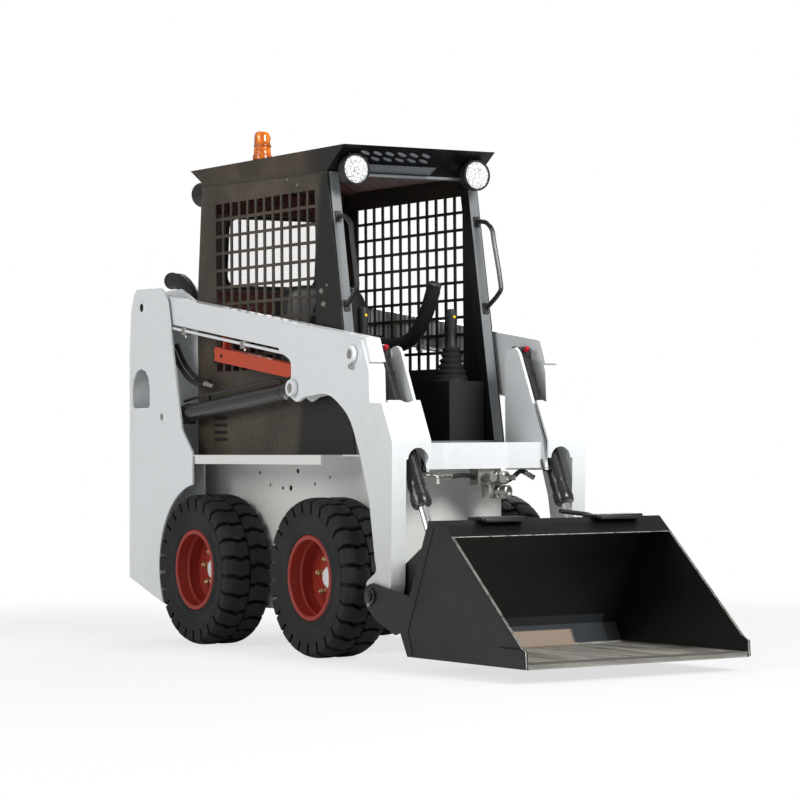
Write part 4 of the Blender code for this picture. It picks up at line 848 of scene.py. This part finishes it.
for end, axle_y in AXLE_Y:
    for side_name, side in SIDES:
        body = "wheel_%s_%s" % (end, side_name)
        centre = Vector((side * WHEEL_X, axle_y, AXLE_Z))
        shape = bmesh.new()
        profile = CARCASS + [(r, -x) for r, x in reversed(CARCASS[:-1])] + [(0.1476, -0.0838), (0.1476, 0.0838), CARCASS[0]]
        add_lathe(shape, profile, centre, (1, 0, 0), 100)
        carcass = piece("%s_tyre_body_%s" % (end, side_name), shape, rubber, body, 40)
        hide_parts("%s_tyre_%s" % (end, side_name))
        for hand in (-1, 1):
            lugs = lug(hand)
            unit = piece("lug_unit", lugs, rubber, None, 30)
            rings = bmesh.new()
            base = unit.data
            for k in range(LUGS):
                turn = Matrix.Rotation(2 * math.pi * (k + (0.5 if hand > 0 else 0)) / LUGS, 4, "X")
                copy = base.copy()
                copy.transform(Matrix.Translation(centre) @ turn)
                rings.from_mesh(copy)
                bpy.data.meshes.remove(copy)
            bpy.data.objects.remove(unit, do_unlink=True)
            piece("%s_lugs_%s_%s" % (end, side_name, "outer" if hand == side else "inner"), rings, rubber, body, 30)
        face = side * (WHEEL_X + DISC_FACE)
        nuts = [((face, axle_y + 0.071 * math.sin(a), AXLE_Z + 0.071 * math.cos(a)), (side, 0, 0), a * 1.7, 0.0122)
                for a in (math.radians(18 + 60 * k) for k in range(6))]
        repeated("%s_wheel_nuts_%s" % (end, side_name), wheel_nut(), nuts, brass.material, body, "worn_steel")
        shape = bmesh.new()
        add_lathe(shape, [(r, along + DISC_FACE) for r, along in (
            (0, 0.0175), (0.002, 0.0170), (0.030, 0.0170), (0.0365, 0.0155), (0.0400, 0.0125), (0.0415, 0.007), (0.0418, -0.001))],
                  centre, (side, 0, 0), 36)
        piece("%s_hub_cap_%s" % (end, side_name), shape, white, body)
        shape = bmesh.new()
        add_lathe(shape, [(0.1405, 0.034), (0.1350, 0.0365), (0.1348, 0.0395), (0.1405, 0.046)], centre, (side, 0, 0), 72)
        add_lathe(shape, [(0.1412, 0.074), (0.1400, 0.0880), (0.1440, 0.0915), (0.1530, 0.0915), (0.1568, 0.0885), (0.1572, 0.0830)],
                  centre, (side, 0, 0), 72)
        piece("%s_rim_bead_%s" % (end, side_name), shape, rim_red, body, 50)


# --- Cylinders, pipes and hoses --------------------------------------------------------------------
# Black-painted barrels with bolted glands and hard-chromed rods, zinc-plated pipe fittings, steel
# feed pipes clipped to the arms and two rubber hoses out of each upright.

barrel_black = enamel("barrel_enamel", (0.010, 0.0105, 0.011), (0.045, 0.044, 0.040), 0.24, 0.30, 0.3, peel=0.05)
dress(barrel_black, "lift_barrel", "tilt_barrel")
chrome = Paint("rod_chrome", (0.78, 0.79, 0.81), 0.12, 1.0)
chrome.set(Roughness=chrome.noise(40.0, 3.0, 0.6, (1, 1, 1)) * 0.15 + 0.05)
dress(chrome.material, "lift_rod", "tilt_rod")
hose_rubber = moulded("hose_rubber", (0.010, 0.010, 0.0105), 0.5, 600.0, 0.0004)
signal_red = Paint("grease_cap_red", (0.55, 0.01, 0.02), 0.35).material


def between(start, end, distance):
    way = (Vector(end) - Vector(start)).normalized()
    spot = Vector(start) + way * distance
    return spot.x, spot.y


for side_name, side in SIDES:
    x = side * 0.376
    way = Vector((0, LIFT_EYE[0] - LIFT_BASE[0], LIFT_EYE[1] - LIFT_BASE[1])).normalized()
    up = Vector((0, -way.z, way.y)) * -1
    at = lambda d, rise=0.0: Vector((x, *LIFT_BASE)) + way * d + up * rise
    shape = bmesh.new()
    for d, wide in ((0.966, 0.0385), (0.905, 0.0366), (0.130, 0.0385)):
        add_lathe(shape, [(0.0345, -0.012), (wide, -0.010), (wide, 0.008), (0.0345, 0.010)], at(d), way, 32)
    add_box(shape, (x - 0.032, 1.010, 0.862), (x + 0.032, 1.100, 0.936), 0.006)
    piece("lift_barrel_rings_" + side_name, shape, barrel_black, "lift_barrels")
    shape = bmesh.new()
    pipe = [at(0.10, 0.052), at(0.20, 0.056), at(0.45, 0.055), at(0.75, 0.053), at(0.855, 0.050), at(0.885, 0.036)]
    add_tube(shape, curve_through(pipe), 0.0055, 10)
    add_box(shape, tuple(at(0.30) + Vector((-0.006, -0.008, 0.030))), tuple(at(0.30) + Vector((0.006, 0.008, 0.062))), 0.001)
    piece("lift_feed_pipe_" + side_name, shape, satin, "lift_barrels")
    shape = bmesh.new()
    for low, high, r in ((at(0.300, 0.098), at(0.335, 0.088), 0.0095), (at(0.285, 0.102), at(0.300, 0.098), 0.0115),
                         (at(0.335, 0.088), at(0.350, 0.082), 0.0085)):
        add_tube(shape, [low, high], r, 12)
    piece("lift_hose_fitting_" + side_name, shape, bright.material, "lift_barrels")
    for index, (dx, dz) in enumerate(((0.0, 0.0), (-0.020, 0.016))):
        shape = bmesh.new()
        hose = [(x + side * dx, 1.152, 1.165 + dz), (x + side * dx, 1.100, 1.105 + dz), (x + side * dx, 1.030, 1.052 + dz),
                (x + side * dx, 0.950, 1.022 + dz * 0.7), (x + side * dx * 0.6, 0.862, 1.016 + dz * 0.6)]
        add_tube(shape, curve_through(hose, 8), 0.0095, 14)
        run = piece("lift_hose_%s_%d" % (side_name, index), shape, hose_rubber, None, 60)
        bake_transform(run)
    for name, start, end in (("arm_pipe", (1.108, 1.248), (0.205, 1.120)),):
        shape = bmesh.new()
        px = side * 0.4065
        run = [Vector((px, start[0] + (end[0] - start[0]) * t, start[1] + (end[1] - start[1]) * t)) for t in (0, 0.5, 1)]
        add_tube(shape, run, 0.0058, 10)
        add_tube(shape, [r + Vector((-side * 0.016, 0, -0.004)) for r in run], 0.0052, 10)
        piece("arm_pipes_" + side_name, shape, white, "lift_arms")
        shape = bmesh.new()
        for y, z in ((0.988, 1.229), (0.509, 1.161)):
            add_box(shape, (px - side * 0.024, y - 0.014, z - 0.015), (px + side * 0.0075, y + 0.014, z + 0.013), 0.002)
            add_lathe(shape, [(0, -0.024), (0.006, -0.024), (0.006, -0.012), (0.0045, -0.010)], (px - side * 0.008, y, z), (0, 0, 1), 6)
        for y, z, r in ((1.112, 1.249, 0.0085), (1.135, 1.2525, 0.0105), (1.160, 1.256, 0.009)):
            add_tube(shape, [Vector((px, y - 0.012, z - 0.0017)), Vector((px, y + 0.012, z + 0.0017))], r, 12)
        piece("arm_pipe_clips_" + side_name, shape, bright.material, "lift_arms")

for side_name, side in SIDES:
    x = side * 0.306
    way = Vector((0, TILT_EYE[0] - TILT_TOP[0], TILT_EYE[1] - TILT_TOP[1])).normalized()
    front = Vector((0, way.z, -way.y))
    at = lambda d, rise=0.0, off=0.0: Vector((x + off, *TILT_TOP)) + way * d + front * rise
    shape = bmesh.new()
    add_lathe(shape, [(0.0315, -0.006), (0.0345, -0.005), (0.0345, 0.005), (0.0315, 0.006)], at(0.088), way, 32)
    add_lathe(shape, [(0.030, -0.014), (0.0362, -0.012), (0.0372, 0.0), (0.0362, 0.012), (0.030, 0.014)], at(0.585), way, 32)
    add_lathe(shape, [(0.0300, -0.01), (0.0336, -0.008), (0.0336, 0.008), (0.030, 0.010)], at(0.525), way, 32)
    piece("tilt_barrel_rings_" + side_name, shape, barrel_black, "tilt_barrels")
    shape = bmesh.new()
    add_tube(shape, [at(0.0, 0.030), at(0.0, 0.044)], 0.0050, 10)
    add_tube(shape, [at(0.0, 0.042), at(-0.004, 0.056)], 0.0085, 12)
    piece("grease_cap_" + side_name, shape, signal_red, "tilt_barrels")
    shape = bmesh.new()
    inboard = -side
    port = [at(0.470, 0.010, inboard * 0.030), at(0.470, 0.010, inboard * 0.052)]
    add_tube(shape, port, 0.0125, 12)
    add_tube(shape, [at(0.478, 0.010, inboard * 0.048), at(0.435, 0.010, inboard * 0.050)], 0.0110, 12)
    piece("tilt_port_" + side_name, shape, barrel_black, "tilt_barrels")
    shape = bmesh.new()
    add_tube(shape, [at(0.440, 0.010, inboard * 0.050), at(0.418, 0.010, inboard * 0.052)], 0.0095, 6)
    add_tube(shape, curve_through([at(0.420, 0.010, inboard * 0.052), at(0.402, 0.012, inboard * 0.056),
                                   at(0.392, 0.014, inboard * 0.072)]), 0.0065, 10)
    piece("tilt_fitting_" + side_name, shape, bright.material, "tilt_barrels")

shape = bmesh.new()
for x, z in ((0.098, 0.655), (0.108, 0.603)):
    add_lathe(shape, [(0.0165, -0.020), (0.0230, 0.002), (0.0230, 0.018), (0.0195, 0.020), (0.0195, 0.028), (0.0235, 0.030),
                      (0.0235, 0.050), (0.0205, 0.053), (0.0145, 0.054), (0.0140, 0.046), (0, 0.046)], (x, -0.448, z), (0.35, -0.94, 0), 28)
add_box(shape, (0.070, -0.452, 0.578), (0.132, -0.402, 0.630), 0.004)
add_lathe(shape, [(0, 0.022), (0.007, 0.021), (0.008, 0.016), (0.008, 0)], (0.121, -0.430, 0.668), (0.6, -0.8, 0), 6)
piece("quick_couplers", shape, bright.material, "lift_arms")
cast = Paint("coupler_casting", (0.30, 0.295, 0.27), 0.45, 0.8)
cast.bump(cast.noise(90.0, 5.0), 0.001, 0.5)
dress(cast.material, "coupler_block")
shape = bmesh.new()
FITTINGS = (((-0.236, -0.470, 0.668), (-0.150, -0.478, 0.662)), ((-0.150, -0.478, 0.662), (-0.108, -0.480, 0.660)),
            ((-0.172, -0.478, 0.662), (-0.170, -0.480, 0.636)), ((0.226, -0.450, 0.672), (0.262, -0.462, 0.650)), ((0.150, -0.450, 0.655), (0.172, -0.470, 0.652)))
for start, end in FITTINGS:
    add_tube(shape, [Vector(start), Vector(end)], 0.0055, 10)
    for t in (0.15, 0.5, 0.85):
        spot = Vector(start).lerp(Vector(end), t)
        way = (Vector(end) - Vector(start)).normalized()
        add_tube(shape, [spot - way * 0.006, spot + way * 0.006], 0.0095, 6)
piece("pipe_fittings", shape, bright.material, "lift_arms")
shape = bmesh.new()
for route in ([(-0.108, -0.480, 0.660), (-0.060, -0.466, 0.664), (-0.010, -0.440, 0.662), (0.020, -0.428, 0.655)],
              [(0.121, -0.425, 0.640), (0.150, -0.435, 0.636), (0.185, -0.440, 0.655), (0.210, -0.445, 0.674), (0.236, -0.452, 0.670)]):
    add_tube(shape, curve_through(route, 8), 0.0085, 12)
piece("front_hoses", shape, hose_rubber, "lift_arms", 60)
orange = enamel("lock_enamel", (0.50, 0.068, 0.028), (0.22, 0.085, 0.055), 0.50, 0.75, 0.05, 0.3)
dress(orange, "arm_lock")
shape = bmesh.new()
add_tube(shape, [Vector((-0.3962, 0.716 - 0.020 * t, 1.1245 - 0.0025 * t)) for t in (0, 0.15, 0.5, 0.85, 1)],
         lambda t: 0.0065 if 0.1 < t < 0.9 else 0.004, 10)
bmesh.ops.scale(shape, vec=(0.1, 1, 1), verts=shape.verts, space=Matrix.Translation((0.3962, 0, 0)))
piece("lock_slot", shape, dark_hole, "lift_arms")


# --- Bucket and hitch ------------------------------------------------------------------------------
# A plain digging bucket of welded plate: black enamel outside, its floor and front edges ground to
# bare steel by use, dried mud on the lower back, hook plates on the lip and corner plates at the tips.

def bucket_enamel():
    paint = Paint("bucket_enamel", (0.01, 0.01, 0.01), 0.45, specular_ior_level=0.4)
    spot, x, y, z = paint.place()
    streak = paint.noise(26.0, 6.0, 0.7, (1.0, 0.07, 1.0))
    blotch, fine = paint.noise(5.0, 5.0), paint.noise(120.0, 4.0, 0.7)
    inside = x.math("ABSOLUTE").over(0.4535, 0.4525)
    floor = z.over(0.068, 0.061) * inside * z.over(0.0590, 0.0598)
    steel = paint.mix(streak.over(0.35, 0.65), (0.22, 0.205, 0.175), (0.52, 0.505, 0.455))
    steel = paint.mix(blotch.over(0.52, 0.68) * 0.55, steel, (0.095, 0.084, 0.070))
    lining = (z * 0.482 - y * 0.876).over(0.6626, 0.6636) * inside * y.over(-0.86, -0.84)
    mud = lining * x.over(0.255, 0.235) * z.over(0.116, 0.110) * y.over(-0.800, -0.775)
    mud = mud * (blotch + fine * 0.4).over(0.25, 0.50)
    skin = paint.mix((blotch + fine * 0.5).over(0.55, 1.0), (0.0050, 0.0053, 0.0055), (0.0155, 0.0155, 0.0150))
    # Painted shade: faces inboard of the side plates below the lip are pulled most of the way to near-black, darkening
    # the bucket's hollow.
    skin = paint.mix(inside * z.over(0.508, 0.500) * 0.75, skin, (0.0012, 0.0013, 0.0015))
    skin = paint.mix(lining * z.over(0.166, 0.160) * x.over(0.400, 0.385), skin, (0.020, 0.024, 0.028))
    scratch = paint.noise(60.0, 4.0, 0.8, (0.2, 1.0, 0.25)).over(0.64, 0.72) * inside * y.over(-1.30, -0.95)
    skin = paint.mix(scratch * 0.30, skin, (0.06, 0.068, 0.078))
    colour = paint.mix(floor, skin, steel)
    paint.set(**{"Base Color": paint.mix(mud, colour, (0.30, 0.235, 0.18)), "Roughness": fine * 0.25 + 0.32 + mud * 0.3,
                 "Metallic": floor * 0.15})
    return paint.bump(fine * 0.6 + streak * floor, 0.0008, 0.5).material


bucket_finish = bucket_enamel()
dress(bucket_finish, "bucket")
dress(black, "hitch_frame")
worn = Paint("worn_edge_steel", (0.20, 0.195, 0.18), 0.38, 0.7)
worn.set(**{"Base Color": worn.mix(worn.noise(50.0, 5.0).over(0.3, 0.55), (0.12, 0.115, 0.105), (0.55, 0.54, 0.50))})
shape = bmesh.new()
for _, side in SIDES:
    x = side * 0.4588
    add_tube(shape, [Vector((x, -1.013, 0.466)), Vector((x, -1.415, 0.1185))], 0.0018, 8)
    add_tube(shape, [Vector((side * 0.4535, -1.013, 0.466)), Vector((side * 0.4535, -1.415, 0.1185))], 0.0016, 8)
    add_tube(shape, [Vector((x, -1.415, 0.1185)), Vector((x, -1.4405, 0.1055)), Vector((x, -1.4435, 0.0500))], 0.0018, 8)
add_tube(shape, [Vector((-0.452, -1.0125, 0.4648)), Vector((0.452, -1.0125, 0.4648))], 0.0018, 8)
piece("worn_edges", shape, worn.material, "bucket_assembly")
shape = bmesh.new()
add_plate(shape, [(-1.4448, 0.0482), (-1.4448, 0.0530), (-1.432, 0.0625), (-1.352, 0.0632), (-1.350, 0.0600), (-1.36, 0.050)],
          -0.4515, 0.4515)
edge_finish = Paint("cutting_edge_steel", (0.30, 0.29, 0.26), 0.40, 0.6)
streak = edge_finish.noise(30.0, 6.0, 0.7, (0.15, 1.0, 1.0))
edge_finish.set(**{"Base Color": edge_finish.mix(streak, (0.13, 0.12, 0.10), (0.46, 0.45, 0.41)), "Roughness": streak * 0.3 + 0.3})
piece("cutting_edge", shape, edge_finish.material, "bucket_assembly")
shape = bmesh.new()
for _, side in SIDES:
    x = side * 0.4598
    add_plate(shape, [(-1.4435, 0.0500), (-1.4400, 0.1040), (-1.4150, 0.1120), (-1.3020, 0.1120), (-1.2980, 0.1080), (-1.2980, 0.0500)],
              x, x + side * 0.0060)
for x0, x1 in ((-0.325, -0.136), (0.156, 0.356)):
    add_box(shape, (x0, -0.992, 0.5165), (x1, -0.905, 0.5290), 0.0035)
    add_box(shape, (x0 + 0.012, -1.000, 0.5120), (x1 - 0.012, -0.975, 0.5235), 0.0030)
piece("bucket_plates", shape, bucket_finish, "bucket_assembly")
weld = enamel("weld_bead_enamel", (0.006, 0.006, 0.006), (0.03, 0.03, 0.03), 0.5, 0.3, 0.0, 0.3)
bead = bmesh.new()
bmesh.ops.create_uvsphere(bead, u_segments=8, v_segments=5, radius=1.0)
bmesh.ops.scale(bead, vec=(1.0, 1.0, 0.55), verts=bead.verts)
places = []
for _, side in SIDES:
    for start, end in (((-0.905, 0.500), (-0.735, 0.135)), ((-0.735, 0.135), (-0.762, 0.056)), ((-1.292, 0.056), (-1.292, 0.112)),
                       ((-1.292, 0.114), (-1.405, 0.114))):
        run = Vector(end) - Vector(start)
        count = int(run.length / 0.0045)
        for k in range(count):
            y, z = Vector(start) + run * (k + 0.5) / count
            places.append(((side * 0.4603, y, z), (side, 0, 0), k, 0.0034))
repeated("bucket_welds", bead, places, weld, "bucket_assembly", "bucket_paint", 60)
for side_name, side in SIDES:
    shape = bmesh.new()
    y, z = BUCKET_PIVOT
    add_lathe(shape, [(0, 0.020), (0.006, 0.020), (0.0065, 0.012), (0.018, 0.0115), (0.0195, 0.010), (0.0195, 0.004), (0.029, 0.003),
                      (0.031, 0.001), (0.031, -0.004)], (side * 0.434, y, z), (side, 0, 0), 28)
    piece("hitch_pin_head_" + side_name, shape, barrel_black, "bucket_assembly")
    shape = bmesh.new()
    add_lathe(shape, [(0, 0.012), (0.006, 0.012), (0.007, 0.009), (0.007, 0.0)], (side * 0.440, y, z), (side, 0, 0), 6)
    add_tube(shape, [Vector((side * 0.434, y + 0.006, z - 0.036)), Vector((side * 0.434, y + 0.006, z - 0.026))], 0.0055, 6)
    piece("hitch_pin_bolt_" + side_name, shape, bright.material, "bucket_assembly")
shape = bmesh.new()
add_tube(shape, curve_through([(0.095, -0.856, 0.540), (0.150, -0.858, 0.533), (0.215, -0.860, 0.524), (0.262, -0.862, 0.508)]), 0.0085, 10)
piece("hitch_release_lever", shape, satin, "bucket_assembly", 60)


# --- Tail: door, hood and exhaust -------------------------------------------------------------------
# The tail door has pressed cooling louvres, a flush latch and round tail lamps; the exhaust is a black
# mandrel-bent pipe with an open end.

dress(enamel("exhaust_enamel", (0.028, 0.028, 0.030), (0.075, 0.065, 0.055), 0.50, 0.5, 0.0, 0.3), "exhaust_elbow")
dress(moulded("engine_casting", (0.03, 0.03, 0.032), 0.6, 60.0), "engine_block")
dress(black, "front_axle", "rear_axle")
unit = bmesh.new()
add_plate(unit, [(0.0, -0.010), (0.009, -0.008), (0.009, 0.002), (0.0, 0.010)], -0.170, 0.170)
bmesh.ops.rotate(unit, matrix=Matrix.Rotation(0, 3, "X"), verts=unit.verts)
places = [((0.0, 1.4165, z), (0, 0, 1), 0.0, 1.0) for z in [0.66 + 0.045 * k for k in range(9)]]
repeated("door_louvres", unit, places, white, "tail_door", "white_paint")
shape = bmesh.new()
add_box(shape, (-0.262, 1.416, 0.640), (-0.212, 1.421, 0.760), 0.002)
add_tube(shape, curve_through([(-0.237, 1.419, 0.665), (-0.237, 1.436, 0.680), (-0.237, 1.436, 0.720), (-0.237, 1.419, 0.735)]), 0.005, 10)
piece("door_latch", shape, satin, "tail_door")
tail_red = Paint("tail_lamp_red", (0.40, 0.01, 0.01), 0.15, coat_weight=0.6)
tail_red.bump((tail_red.place()[1] * 900.0).math("SINE"), 0.0004, 0.5)
shape = bmesh.new()
for x in (-0.205, 0.195):
    add_lathe(shape, [(0, 0.010), (0.026, 0.009), (0.032, 0.005), (0.034, 0.0), (0.034, -0.002)], (x, 1.417, 0.560), (0, 1, 0), 28)
piece("tail_lamps", shape, tail_red.material, "tail_door", 60)
shape = bmesh.new()
tip, way = Vector((-0.258, 1.375, 1.452)), Vector((0, 0.99, 0.06)).normalized()
add_lathe(shape, [(0.0300, -0.030), (0.0315, 0.004), (0.0345, 0.005), (0.0352, 0.002), (0.0348, -0.006)], tip, way, 28)
piece("exhaust_lip", shape, satin, "chassis", 50)
shape = bmesh.new()
add_lathe(shape, [(0, 0.0012), (0.0312, 0.0012), (0.0312, -0.003)], tip, way, 24)
piece("exhaust_bore", shape, dark_hole, "chassis")
